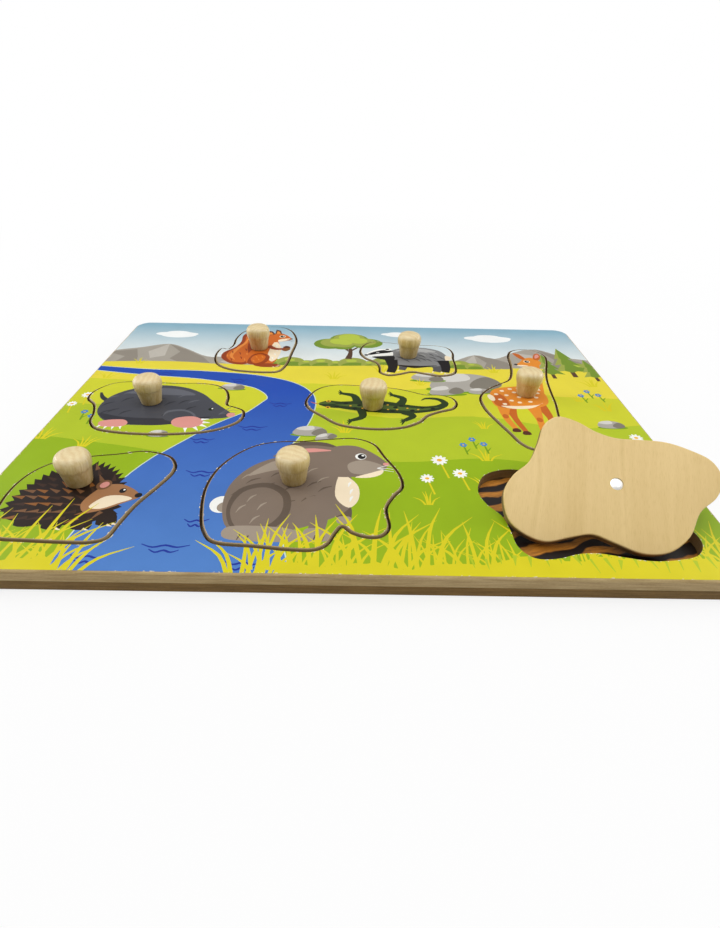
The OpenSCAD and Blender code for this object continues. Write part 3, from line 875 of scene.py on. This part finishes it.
class Sketch:
    """An animal drawn on its insert, in hundredths of the insert's width from its middle"""

    def __init__(self, piece):
        self.width = WIDTHS[piece]
        self.middle = WELL_MIDDLES[piece]

    def flat(self, ink, outline):
        """A shape with straight sides, or one that is ready made"""
        paint(ink, np.array(outline) * self.width / 100 + self.middle)

    def form(self, ink, points, steps=5):
        """A smooth closed form through its points"""
        self.flat(ink, curve(points, steps))

    def stroke(self, ink, points, widths, steps=4):
        """A band of changing width: a leg, a tail, a whisker"""
        self.flat(ink, ribbon(points, widths, steps))

    def spot(self, ink, *measures):
        """An oval, measured as in oval"""
        self.flat(ink, oval(*measures))

    def spots(self, ink, size, places):
        for x, y in places:
            self.spot(ink, x, y, *size)

    def eye(self, x, y, size):
        self.spot("black", x, y, size, size * 1.1, 0, 12)
        self.spot("white", x + size * 0.15, y + size * 0.2, size * 0.34, size * 0.34, 0, 8)

    def fur(self, ink, reach, width, starts):
        """Short tapered strokes of fur, all combed the same way"""
        for x, y in starts:
            self.stroke(ink, [(x, y), (x + reach[0] * 0.6, y + reach[1] * 0.35),
                              (x + reach[0], y + reach[1])], [width * 0.4, width, 0.2], 3)

    def claws(self, ink, size, tips):
        """Tapered claws, each given by its root and the way it points, in degrees"""
        for x, y, turn in tips:
            a = math.radians(turn)
            self.stroke(ink, [(x, y), (x + size * math.cos(a), y + size * math.sin(a))],
                        [size * 0.5, size * 0.08], 2)


landscape()

# The squirrel's picture: a red squirrel with a bushy tail, sitting up with a nut. The tail is printed
# first, then the body, the haunch and the nut in its paws, and the head with its ears last.
draw = Sketch("squirrel")
draw.form("russet_deep", [
    (-6, -54), (-26, -54), (-42, -38), (-43, -20), (-31, -2), (-26, 18), (-27, 40), (-19, 56), (-6, 62),
    (3, 54), (1, 43), (-7, 37), (-11, 22), (-8, 2), (-2, -20)])
draw.form("russet", [
    (-10, -49), (-27, -47), (-37, -32), (-36, -16), (-26, 0), (-21, 18), (-22, 38), (-15, 51), (-9, 44),
    (-14, 30), (-15, 10), (-12, -10), (-8, -28)])
draw.stroke("russet_light", [(-24, -42), (-31, -28), (-26, -4), (-19, 14), (-18, 34)], [1, 5, 5, 4, 1])
draw.fur("russet_deep", (3, -9), 2, [
    (-18, -32), (-22, -18), (-16, -6), (-15, 10), (-17, 24), (-30, -38), (-33, -14)])
draw.fur("russet_light", (2, -8), 1.6, [(-12, -38), (-12, -20), (-37, -26), (-14, 40)])
draw.form("russet", [
    (-6, -52), (-10, -32), (-6, -8), (4, 10), (10, 22), (24, 22), (31, 4), (33, -16), (31, -42), (25, -54),
    (8, -56)])
draw.form("cream", [(22, 20), (31, 6), (34, -12), (32, -34), (25, -46), (18, -28), (18, -4)])
draw.fur("white", (2, -7), 1.8, [(25, 8), (27, -6), (26, -20), (24, -32)])
draw.form("russet_deep", [(-6, -42), (-2, -25), (10, -20), (21, -30), (19, -48), (8, -56), (-4, -54)])
draw.form("russet", [(-3, -40), (1, -27), (9, -24), (16, -32), (13, -46), (4, -52)])
draw.fur("russet_light", (3, -6), 1.6, [(2, -30), (6, -38), (10, -30), (0, -42)])
draw.form("russet_deep", [(8, -52), (28, -52), (38, -56), (36, -62), (16, -63), (4, -58)])
draw.claws("cream", 4, [(35, -57, -5), (33, -60, -12), (29, -61.5, -30)])
draw.form("nut", [(36, 0), (43, 2), (46, -5), (41, -12), (35, -9)])
draw.form("umber", [(35, 1), (40, 6), (46, 1), (40, -1)])
draw.stroke("russet_deep", [(14, 4), (26, -5), (39, -4)], [9, 7, 5])
draw.form("russet", [
    (6, 22), (6, 36), (14, 48), (26, 51), (36, 44), (43, 34), (44, 29), (38, 24), (26, 19), (14, 16)])
draw.flat("umber", [(9, 42), (5, 60), (13, 58), (19, 47)])
draw.flat("umber", [(18, 49), (18, 65), (25, 61), (28, 49)])
draw.flat("russet_light", [(10, 44), (8, 54), (12, 54), (16, 47)])
draw.flat("russet_light", [(20, 49), (20, 60), (24, 57), (26, 49)])
draw.form("cream", [(42, 32), (36, 24), (27, 20), (26, 27), (34, 31)])
draw.spot("cream", 30, 39, 9, 9)
draw.spot("black", 44, 31, 3.6, 3.2, 0, 10)
draw.eye(30, 39, 6.4)
for y in [27, 24.5, 29]:
    draw.stroke("umber", [(38, 28), (44, y - 2), (48, y - 3)], [0.5, 0.4, 0.2], 2)

# The badger's picture: a badger on the move to the left, with its striped head held out. The far legs
# are printed first, then the grey coat, the black near legs and the white head with its black stripes.
draw = Sketch("badger")
draw.stroke("ash_deep", [(26, -8), (30, -24), (28, -34)], [14, 10, 8])
draw.stroke("ash_deep", [(-9, -8), (-6, -22), (-8, -31)], [12, 9, 7])
draw.form("ash", [
    (-22, 8), (-14, 20), (0, 27), (20, 27), (36, 20), (43, 7), (43, -8), (35, -19), (14, -23), (-8, -22),
    (-20, -13)])
draw.form("ash_light", [(-12, 17), (4, 24), (20, 24), (33, 17), (22, 15), (4, 17)])
draw.fur("ash_deep", (8, -8), 2.4, [
    (-8, 8), (2, 12), (12, 8), (22, 12), (31, 6), (6, -2), (18, -2), (-6, -4), (28, -6), (-12, 2), (12, 0),
    (24, 3), (0, 4), (36, 0)])
draw.fur("ash_light", (7, -6), 1.4, [(-4, 16), (8, 18), (18, 16), (28, 15), (14, 10), (2, 8)])
draw.stroke("black", [(-18, -6), (-17, -24), (-20, -37)], [14, 10, 9])
draw.stroke("black", [(38, -6), (39, -22), (37, -35)], [13, 10, 8])
draw.stroke("black", [(-16, -18), (6, -23), (30, -19)], [1, 6, 1])
draw.claws("cream", 4, [
    (-24, -36, 235), (-21, -38, 250), (34, -34, 235), (37, -36, 250), (-11, -31, 240), (25, -33, 240)])
draw.form("white", [
    (-16, 16), (-26, 22), (-36, 18), (-43, 11), (-46, 5), (-43, 1), (-33, 1), (-23, -1), (-16, 4)])
draw.form("black", [(-15, 17), (-26, 19), (-36, 14), (-43, 7.5), (-40, 5.5), (-31, 9), (-20, 12)])
draw.form("black", [(-15, 4), (-27, 3), (-38, 1), (-36, -2), (-24, -7), (-15, -6)])
draw.spot("white", -20, 20.5, 8, 6, 20, 12)
draw.spot("white", -32, 12, 3.2, 3, 0, 10)
draw.spot("black", -21, 21, 4.4, 3.4, 20, 10)
draw.spot("black", -44.8, 5, 4.4, 4.4, 0, 10)
draw.spot("black", -32, 12, 1.8, 1.8, 0, 8)
draw.form("cream", [(42, 6), (48, 3), (46, -4), (41, -5)])

# The mole's picture: a velvety mole with pale digging hands, facing right. The tail and the body are
# printed first, then the arm, the pink hands and nose, and the claws, the eye and the whiskers.
draw = Sketch("mole")
draw.stroke("slate_deep", [(-34, 4), (-41, 9), (-45, 16)], [4, 3, 1.4])
draw.form("slate", [
    (-38, -8), (-38, 8), (-29, 20), (-12, 27), (6, 25), (20, 17), (30, 6), (40, -4), (44, -9), (41, -13),
    (30, -15), (14, -20), (-8, -23), (-27, -20)])
draw.form("slate_light", [(-29, 16), (-14, 23), (4, 22), (16, 15), (4, 14), (-14, 15)])
draw.form("slate_deep", [
    (-36, -10), (-20, -14), (0, -15), (18, -14), (32, -12), (22, -18), (0, -23), (-25, -20)])
draw.fur("slate_deep", (-6, -6), 1.6, [
    (-32, 4), (-22, 10), (-26, -4), (6, 6), (14, 8), (-2, 10), (20, 0), (8, -6), (-18, -6), (-30, -6)])
draw.fur("slate_light", (-6, -4), 1.2, [(-24, 18), (-10, 21), (2, 20), (12, 15), (20, 8), (-32, 12)])
draw.form("slate_light", [(4, -6), (14, -4), (22, -10), (22, -17), (12, -18), (4, -14)])
draw.form("slate", [(5, -8), (14, -6), (21, -11), (21, -18), (12, -19), (4, -15)])
draw.form("pink", [(12, -14), (21, -12), (28, -16), (29, -21), (23, -25), (14, -24), (10, -19)])
draw.form("pink", [(-29, -18), (-19, -17), (-15, -21), (-18, -25), (-29, -25), (-32, -21)])
draw.spot("pink", 43.4, -9.4, 5.4, 5.4, 0, 12)
draw.claws("white", 4.6, [
    (27, -15.5, 10), (28.5, -18.5, -8), (28, -21.5, -28), (25, -24, -52), (20, -25, -78)])
draw.claws("white", 3.2, [(-30, -24, 240), (-26, -25, 260), (-22, -25, 275), (-18, -24.6, 290)])
draw.spot("pine_deep", 30, -3, 3.4, 3.4, 0, 12)
draw.spot("white", 30.6, -2.4, 1.2, 1.2, 0, 8)
for y in [-4, -8, -11]:
    draw.stroke("slate_light", [(36, -9), (42, y + 4), (47, y + 4)], [0.6, 0.4, 0.2], 3)

# The lizard's picture: a green lizard seen from above, with its tail curled behind it. The legs are
# printed first, then head, body and tail in one long stroke, the pale back and its spots, and the eyes.
draw = Sketch("lizard")
legs = [
    ((-16, 3), (-19, 13), (-27, 16)), ((-14, -5), (-13, -15), (-20, -20)), ((12, 1), (15, 10), (8, 15)),
    ((14, -8), (20, -13), (14, -19))]
for leg in legs:
    draw.stroke("pine", leg, [6.4, 4.8, 3.2])
    x, y = leg[2]
    away = np.sign(y - leg[0][1])
    for toe in [-4.4, -1.5, 1.5, 4.4]:
        draw.stroke("pine", [(x, y), (x - 3.4 + abs(toe) * 0.3, y + away * 1.6 + toe * 0.8)], [2.0, 0.6], 2)
spine = [
    (-42, 1), (-36, 1), (-28, 0), (-14, -1), (2, -2), (16, -4), (28, -4), (38, -1), (43, 4.5), (39, 10),
    (31, 11), (27, 8)]
draw.stroke("pine", spine, [3, 10, 9, 14, 16, 12, 8, 6, 5, 3.6, 2.2, 0.6])
draw.stroke("pine_light", [
    (-31, 0), (-14, -1), (2, -2), (16, -4), (28, -4), (38, -1)], [0.6, 5, 5.6, 4.4, 2.4, 0.4])
draw.spots("pine_deep", (3.4, 2.6, 20, 10), [
    (-24, 2), (-18, -4), (-11, 3), (-5, -6), (1, 3), (7, -7), (13, 0), (20, -6), (27, -2), (34, -3),
    (-30, -2), (-2, -1), (-15, 0), (9, -2)])
draw.spots("honey", (1.6, 1.4, 0, 8), [
    (-21, -1), (-13, -4), (-8, 0), (-1, -4), (4, -5), (10, -5), (17, -3), (24, -4.5), (-5, 2), (4, 1)])
draw.stroke("pine_light", [(-43, 1), (-37, 2.5), (-31, 2)], [0.6, 2.6, 0.6])
for y in [4.8, -3.6]:
    draw.spot("honey", -36, y, 3.4, 2.8, 0, 10)
    draw.spot("black", -36, y, 1.9, 1.7, 0, 8)
draw.stroke("russet", [(-43, 1), (-46, 2), (-48, 3.4)], [1.0, 0.8, 0.4], 3)

# The fawn's picture: a spotted fawn on long legs, looking to the left. The far legs are printed first,
# then the near ones, the body, the neck, the head with its ears, and the pale spots last.
draw = Sketch("fawn")
for leg in [((-22, -30), (-23, -58), (-18, -86)), ((10, -28), (14, -58), (10, -92))]:
    draw.stroke("amber_deep", leg, [14, 6.8, 5.4])
for leg in [((-28, -26), (-32, -56), (-27, -80)), ((2, -30), (2, -62), (-2, -98))]:
    draw.stroke("amber", leg, [17, 7.4, 5.8])
    draw.spot("amber_deep", *leg[1], 6.4, 9)
for x, y in [(-18, -88), (10, -94), (-27, -83), (-2, -101)]:
    draw.form("umber", [(x - 4, y - 3), (x - 2.6, y + 3), (x + 3, y + 3), (x + 4, y - 3)], 3)
draw.form("amber", [
    (-38, -34), (-40, -12), (-32, 4), (-14, 10), (4, 12), (15, 10), (23, -6), (21, -26), (9, -36),
    (-10, -38), (-26, -40)])
draw.form("amber_deep", [(-38, -28), (-32, -6), (-24, -14), (-22, -34), (-30, -38)])
draw.form("cream", [(-32, -34), (-14, -34), (8, -31), (15, -26), (0, -38), (-20, -40)])
draw.spot("cream", -39, -16, 7, 15, 10)
draw.stroke("amber", [(11, 0), (20, 30), (28, 58), (32, 76)], [25, 18, 13, 13])
draw.stroke("cream", [(18, 2), (15, 26), (22, 54)], [5, 6, 3])
draw.form("amber", [
    (8, 70), (14, 76), (21, 86), (30, 91), (38, 86), (41, 76), (36, 68), (26, 66), (14, 65)])
draw.form("amber_deep", [(34, 87), (38, 100), (44, 104), (45, 94), (40, 84)])
draw.form("amber_deep", [(24, 88), (19, 101), (12, 104), (14, 94), (19, 85)])
draw.form("pink", [(37, 89), (39, 98), (43, 101), (43, 94)])
draw.form("cream", [(9, 68), (17, 69), (23, 67), (14, 65)])
draw.spot("cream", 24, 79, 8, 7)
draw.spot("black", 8.6, 70.4, 4.6, 4.6, 0, 10)
draw.eye(24, 79, 5.4)
draw.spots("cream", (5, 4.2, 0, 10), [
    (-32, -8), (-24, 0), (-14, 5), (-4, 7), (-30, -20), (-21, -10), (-11, -3), (-1, -2), (-18, -22),
    (-8, -14), (3, -12), (9, 3), (11, -14), (-27, -30), (23, 22), (27, 38), (20, 12), (15, -4), (-10, -26),
    (2, -24)])

# The hedgehog's picture: a hedgehog under a coat of brown quills, facing right. The jagged dark coat is
# printed first, then rows of single quills in three browns, and the bare face and the claws.
draw = Sketch("hedgehog")
for x, y in [(-26, -30), (-8, -32), (10, -32), (24, -28)]:
    draw.form("quill_deep", [(x - 5, y - 5), (x - 4, y + 6), (x + 4, y + 6), (x + 7, y - 5)], 3)
coat = []
for k in range(61):
    a = math.radians(-10 + k * 3.8)
    reach = 1.13 if k % 2 and k < 52 else 1.0
    coat.append((-9 + 34 * reach * math.cos(a), -17 + 46 * reach * math.sin(a)))
draw.flat("quill_deep", coat + [(-42, -28), (-24, -34), (10, -34), (24, -26)])
quills = []
for row in range(9):
    for k in range(9):
        x, y = -42 + 8 * k + 4 * (row % 2), 24 - 6.4 * row
        if ((x + 9) / 31) ** 2 + ((y + 17) / 43) ** 2 < 1:
            quills.append((x, y))
for x, y in sorted(quills, key=lambda base: -math.hypot(base[0] - 18, base[1] + 14)):
    a = math.atan2(y + 16, x - 20) + rng.uniform(-0.12, 0.12)
    tip = (x + 8.5 * math.cos(a), y + 8.5 * math.sin(a))
    draw.stroke(rng.choice(["quill", "quill_light", "quill", "nut"]), [(x, y), tip], [3.4, 0.3], 2)
draw.form("muzzle", [
    (4, -4), (10, 6), (20, 8), (29, 4), (36, -2), (37, -6), (30, -11), (20, -18), (8, -22), (2, -14)])
draw.form("cream", [(14, -6), (24, -4), (33, -7), (26, -12), (16, -18), (8, -16)])
draw.spot("quill_light", 9, 7, 10, 11, -20, 14)
draw.spot("pink", 9.4, 7, 6, 7, -20, 12)
draw.spot("black", 36, -3.6, 5, 5, 0, 12)
draw.eye(24, 1, 4.8)
draw.claws("cream", 4, [(26, -33, -20), (29, -32, -10), (13, -37, -20), (-4, -37, -20)])

# The rabbit's picture: a grey rabbit at rest, with its ears laid back. The tail and the body are printed
# first, then the haunch, the legs and the long ears, and the face with its whiskers.
draw = Sketch("rabbit")
draw.spot("white", -40, -16, 12, 13)
draw.spot("fur_light", -38, -18, 8, 8)
draw.stroke("fur_deep", [(15, -8), (20, -18), (21, -26)], [12, 9, 7])
draw.form("fur", [
    (-39, -20), (-39, 0), (-29, 18), (-10, 28), (8, 25), (20, 14), (27, -2), (23, -18), (10, -28),
    (-14, -37), (-32, -35)])
draw.form("fur_light", [(-31, 8), (-20, 21), (-6, 25), (8, 20), (0, 17), (-18, 13)])
draw.fur("fur_deep", (-7, -5), 1.3, [
    (-24, 6), (-12, 12), (0, 10), (-16, 2), (-4, 0), (8, 4), (6, -8), (-30, -4), (-4, -12), (14, 0)])
draw.fur("fur_light", (-6, -5), 1.0, [(-16, 18), (-4, 21), (6, 16), (-28, 10), (12, 8)])
draw.form("fur_deep", [(-37, -20), (-34, -4), (-20, 2), (-8, -6), (-6, -22), (-14, -34), (-30, -35)])
draw.form("fur", [(-35, -20), (-31, -6), (-20, -2), (-11, -9), (-10, -22), (-17, -32), (-29, -33)])
draw.fur("fur_light", (-4, -6), 1.2, [(-24, -8), (-18, -14), (-28, -16), (-20, -24)])
draw.form("cream", [(18, 10), (27, 2), (28, -10), (23, -17), (16, -8)])
draw.fur("white", (-1.5, -4.5), 1.4, [(24, 4), (25, -2), (25, -8)])
draw.form("fur_light", [(-33, -32), (-10, -32), (2, -36), (2, -41), (-16, -42), (-34, -40)])
draw.stroke("fur", [(7, -8), (9, -22), (8, -35)], [12, 9, 8])
draw.form("fur_light", [(3, -33), (12, -33), (15, -37), (13, -41), (3, -41)])
draw.form("fur_light", [(18, -24), (24, -24), (24, -28.5), (18, -28.5)])
for x, y in [(-28, -40), (-24, -41), (7, -40), (11, -40)]:
    draw.stroke("fur_deep", [(x, y - 1), (x + 1, y + 3)], [0.5, 0.8], 2)
draw.form("fur", [(-14, 22), (-8, 31), (6, 34), (14, 28), (12, 16), (-4, 18)])
draw.stroke("fur_deep", [(20, 30), (8, 37), (-6, 38), (-16, 35)], [5, 8, 7, 1])
draw.form("fur", [
    (6, 16), (6, 28), (14, 37), (26, 38), (36, 31), (43, 22), (42, 15), (34, 10), (20, 8), (10, 10)])
draw.stroke("fur", [(18, 32), (4, 33), (-10, 32), (-20, 26)], [6, 10, 9, 1])
draw.stroke("pink", [(12, 33), (2, 33), (-9, 31.5), (-15, 28.5)], [1, 4, 4, 0.6])
draw.form("fur_light", [(22, 20), (30, 24), (40, 20), (41, 15), (33, 11), (24, 12)])
draw.form("cream", [(34, 12), (41, 15), (40, 11), (34, 8), (26, 8)])
draw.spot("pink", 43, 20.5, 3.6, 3, 0, 10)
draw.spot("white", 29, 27.5, 6.4, 6.2, 0, 12)
draw.eye(29.5, 27.5, 4.6)
for y in [18, 15.5, 13.5]:
    draw.stroke("white", [(38, 16.5), (43, y + 1), (47, y)], [0.4, 0.35, 0.2], 3)

# The bee's picture: a bumblebee in flight, banded in black and gold. The wings and the legs are printed
# first, then the gold body with its black bands, and the sting, the head and the feelers.
draw = Sketch("bee")
for x, y, turn, wide in [(-20, 13, 146, 36), (-6, 12, 122, 28)]:
    draw.spot("wing_line", x, y, wide, 15, turn)
    draw.spot("wing", x, y, wide - 2, 13, turn)
    draw.stroke("wing_line", [(x + 8, y - 8), (x, y), (x - 8, y + 7)], [0.9, 0.7, 0.3], 3)
for x in [-4, 8, 19]:
    draw.stroke("black", [(x, -16), (x - 3, -22), (x + 1, -27)], [2, 1.4, 1], 3)
draw.spot("honey", 2, -5, 58, 29)
for x, wide, deep in [(-14, 7, 23), (0, 8, 29), (15, 8, 26)]:
    left, right, low, high = x - wide / 2, x + wide / 2, -5 - deep / 2, -5 + deep / 2
    draw.form("black", [
        (left, low), (left - 2, -5), (left, high), (right, high), (right - 2, -5), (right, low)], 4)
draw.fur("amber", (-2, -5), 1.2, [(-8, 4), (6, 4), (-22, 2), (-8, -12), (7, -12), (-22, -8)])
draw.flat("umber", [(-27, -7), (-35, -6), (-27, -3)])
draw.spot("quill", 31, -4, 18, 19)
draw.form("honey", [(26, 4), (31, 6), (37, 2), (32, 0)])
draw.eye(35, -3, 5)
for tip in [(37, 14), (43, 6)]:
    draw.stroke("quill", [(33, 3), (36, 8), tip], [1.4, 1.1, 1.8], 3)

front_grass()

# The sheets themselves: the picture cut along the wells and the inserts. Each sheet is coated paper, a
# tenth of a millimetre thick, with a clear gloss and a raw grey cut edge that the saw has chipped.
CUT_EDGE = (176, 164, 140)
BARE_PAPER = (232, 222, 196)
SHEET_THICK = np.ptp(corners_of("face_print")[:, 2])
CHIP_WIDTH = 0.32
CHIP_SCALE = 750
CHIP_REACH = (0.6, 0.64)
# How far apart the points lie that carry the sky's and the water's change of tone, and where it runs
WASH_STEP = 7.0
SKY_SPAN = (58.0, 112.0)
WATER_SPAN = (-110.0, 20.0)


def wash(low, high, span, y):
    """An ink that changes evenly from the front to the back"""
    share = np.clip((y - span[0]) / (span[1] - span[0]), 0, 1)[:, None]
    return np.array(linear(INKS[low])) * (1 - share) + np.array(linear(INKS[high])) * share


def ink_at(ink, places):
    """The ink's linear colour at each place"""
    if ink == "sky":
        return wash("sky_low", "sky_top", SKY_SPAN, places[:, 1])
    if ink == "water":
        return wash("water_near", "water_far", WATER_SPAN, places[:, 1])
    return np.tile(linear(INKS[ink]), (len(places), 1))


grid = np.array([(x, y) for x in np.arange(LEFT, RIGHT, WASH_STEP)
                 for y in np.arange(FRONT, BACK, WASH_STEP)])


def within(line, places):
    """Which places lie inside a closed line, looking only at those in its box"""
    near = np.flatnonzero(((places >= line.min(0)) & (places <= line.max(0))).all(1))
    found = np.zeros(len(places), bool)
    found[near[inside(line, places[near])]] = True
    return found


def cut_out(edges):
    """The picture inside its first edge and outside the rest: its points and faces, the number of the
    shape on top of each face, and which faces lie by a cut"""
    low, high = edges[0].min(0), edges[0].max(0)
    chips = [moved_out(line, CHIP_WIDTH if k else -CHIP_WIDTH) for k, line in enumerate(edges)]
    shapes = [k for k, (_, line) in enumerate(picture)
              if (line.max(0) > low).all() and (line.min(0) < high).all()
              and not any(within(hole, line).all() for hole in edges[1:])]
    loose = grid[((grid > low) & (grid < high)).all(1)]
    points, faces = triangulated([picture[k][1] for k in shapes] + edges + chips, loose)
    centres = points[faces].mean(1)
    kept = within(edges[0], centres) & ~np.any([within(line, centres) for line in edges[1:]], axis=0)
    faces, centres = faces[kept], centres[kept]
    on_top = np.zeros(len(faces), int)
    for k in shapes:
        on_top[within(picture[k][1], centres)] = k
    by_cut = ~within(chips[0], centres) | np.any([within(line, centres) for line in chips[1:]], axis=0)
    used, renamed = np.unique(faces, return_inverse=True)
    return points[used], renamed.reshape(-1, 3), on_top, by_cut


def coated_paper():
    """Printed paper under a clear gloss: the ink of each face, a fine screen and a faint orange peel"""
    made, tree, output = new_material("coated_print")
    ink = node(tree, "VertexColor", layer_name="ink")
    place = object_place(tree)
    screen = noise(tree, place, (1, 1, 1), 5200, 2)
    uneven = noise(tree, place, (1, 1, 1), 90, 3)
    value = maths(tree, "ADD", spread(tree, screen, 0.3, 0.7, -0.02, 0.02),
                  spread(tree, uneven, 0.3, 0.7, 0.975, 1.02))
    tone = node(tree, "HueSaturation", {"Color": ink.outputs["Color"], "Value": value})
    edge = node(tree, "Attribute", attribute_name="by_cut")
    torn = spread(tree, noise(tree, place, (1, 1, 1), CHIP_SCALE, 2, 0.6), *CHIP_REACH)
    chipped = maths(tree, "MULTIPLY", torn, edge.outputs["Fac"])
    colour = mixed(tree, chipped, tone.outputs[0], linear(BARE_PAPER))
    rough = spread(tree, uneven, 0.3, 0.7, 0.34, 0.46)
    surface(tree, output, colour, rough, uneven, 0.03 * MM, Specular_IOR_Level=0.25)
    return made


COATED_PAPER = coated_paper()


def closed_sheet(flat, faces, top):
    """A flat sheet with its printed side at top, its back and its cut edge: its places and its faces"""
    count = len(flat)
    places = np.vstack([np.column_stack([flat, np.full(count, h)]) for h in (top, top - SHEET_THICK)])
    sides = np.concatenate([faces[:, [0, 1]], faces[:, [1, 2]], faces[:, [2, 0]]])
    present = {tuple(e) for e in sides.tolist()}
    walls = [(b, a, a + count, b + count) for a, b in present if (b, a) not in present]
    return places, faces.tolist() + (faces[:, ::-1] + count).tolist() + walls


def cut_sheet(name, edges, top, body, slot, settle):
    """A closed sheet of the picture, with its printed side at top, settled where the real one lies"""
    flat, faces, on_top, by_cut = cut_out(edges)
    places, everything = closed_sheet(flat, faces, top)
    made = piece_of(name, settle(places), everything, COATED_PAPER, body, slot, False)
    shades = np.empty((len(faces), 3, 4))
    for number in np.unique(on_top):
        mine = on_top == number
        shades[mine] = ink_at(picture[number][0], flat[faces[mine]].reshape(-1, 2)).reshape(-1, 3, 4)
    rest = len(made.data.loops) - len(faces) * 3
    ink = np.vstack([shades.reshape(-1, 4), np.tile(linear(CUT_EDGE), (rest, 1))])
    stored = made.data.color_attributes.new("ink", "FLOAT_COLOR", "CORNER")
    stored.data.foreach_set("color", ink.astype(np.float32).ravel())
    mark(made, "by_cut", np.append(by_cut, np.zeros(len(everything) - len(faces))), domain="FACE")
    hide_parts(slot)


cut_sheet("face_picture", [board_line] + list(WELLS.values()), face_top, "board", "face_print",
          lambda places: places)


def settle_on(piece):
    """Carries places from the board, with their heights, to where the piece lies"""
    shift = np.append(middle_of(PRINTS[piece][0][0]) - WELL_MIDDLES[piece], 0)
    return lambda places: (places + shift) @ TURNS[piece].T


for piece in PIECES:
    cut_sheet(piece + "_picture", [PRINT_LINES[piece]], PRINTS[piece][1], piece + "_piece", piece + "_print",
              settle_on(piece))

# The floors of the wells: each printed with the coat of its animal, so that an empty well still says
# which piece goes there. The bands of the bee's floor show round the turned piece.
COATS = {"squirrel": ("fur", (214, 118, 44), (128, 52, 22)),
         "badger": ("fur", (190, 190, 188), (44, 44, 46)),
         "mole": ("fur", (84, 85, 92), (44, 44, 50)),
         "lizard": ("scales", (98, 122, 46), (28, 42, 16)),
         "fawn": ("spots", (222, 136, 48), (246, 228, 196)),
         "hedgehog": ("fur", (136, 96, 62), (40, 26, 18)),
         "rabbit": ("fur", (166, 152, 136), (104, 90, 78)),
         "bee": ("bands", (206, 134, 46), (24, 11, 6))}
# Each pattern of cells: how many there are to a metre, and the distances where the inks meet
CELLS = {"scales": (260.0, 0.35, 0.55), "spots": (90.0, 0.36, 0.3)}
# How much of the dark ink the combed hairs take up
HAIRS = 0.45
BAND_HAIRS = 0.6
BAND_LEAN = 1.3


def fur_patches():
    """Soft darker patches along the fur, as a share"""
    tree, given, out = group("fur_patches", {"Place": "Vector"}, {"Share": "Float"})
    patches = noise(tree, given["Place"], (1, 0.25, 1), 160, 4, 0.65)
    give(tree, out, Share=spread(tree, patches, 0.38, 0.62))
    return tree


def combed_print():
    """Two inks mixed by a share, with combed hairs of the dark one: colour, roughness, height"""
    tree, given, out = group("combed_print", {"Place": "Vector", "Light": "Color", "Dark": "Color",
                                              "Share": "Float", "Depth": "Float"},
                             {"Colour": "Color", "Roughness": "Float", "Height": "Float"})
    combed = noise(tree, given["Place"], (1, 0.16, 1), 900, 3, 0.7)
    base = mixed(tree, given["Share"], given["Light"], given["Dark"])
    hairs = maths(tree, "MULTIPLY", spread(tree, combed, 0.3, 0.7), given["Depth"])
    give(tree, out, Colour=mixed(tree, hairs, base, given["Dark"]),
         Roughness=spread(tree, combed, 0.3, 0.7, 0.38, 0.5), Height=combed)
    return tree


FUR_PATCHES = fur_patches()
COMBED_PRINT = combed_print()


def coat(piece):
    """The printed coat: combed fur, scales, spots or ragged bands"""
    kind, light, dark = COATS[piece]
    made, tree, output = new_material(piece + "_coat")
    place, depth = object_place(tree), HAIRS
    if kind == "fur":
        share = use(tree, FUR_PATCHES, {"Place": place})["Share"]
    elif kind == "bands":
        place = node(tree, "Mapping", {"Vector": place, "Rotation": (0, 0, BAND_LEAN)}).outputs[0]
        wave = node(tree, "TexWave", {"Vector": place, "Scale": 36.0, "Distortion": 6.0, "Detail": 3.0,
                                      "Detail Scale": 1.1})
        share, depth = spread(tree, wave.outputs["Fac"], 0.34, 0.6), BAND_HAIRS
    else:
        scale, low, high = CELLS[kind]
        cells = node(tree, "TexVoronoi", {"Vector": place, "Scale": scale})
        share = spread(tree, cells.outputs["Distance"], low, high)
    ink = use(tree, COMBED_PRINT, {"Place": place, "Light": linear(light), "Dark": linear(dark),
                                   "Share": share, "Depth": depth})
    surface(tree, output, ink["Colour"], ink["Roughness"], ink["Height"], 0.02 * MM, Specular_IOR_Level=0.45)
    return made


floor_lines, floor_top = rims("well_print")
for piece in PIECES:
    line = nearest_to(WELL_MIDDLES[piece], floor_lines)
    points, faces = triangulated([line])
    faces = faces[inside(line, points[faces].mean(1))]
    floor = piece_of(piece + "_floor", *closed_sheet(points, faces, floor_top), coat(piece), "board",
                     "well_print", False)
    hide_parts("well_print")
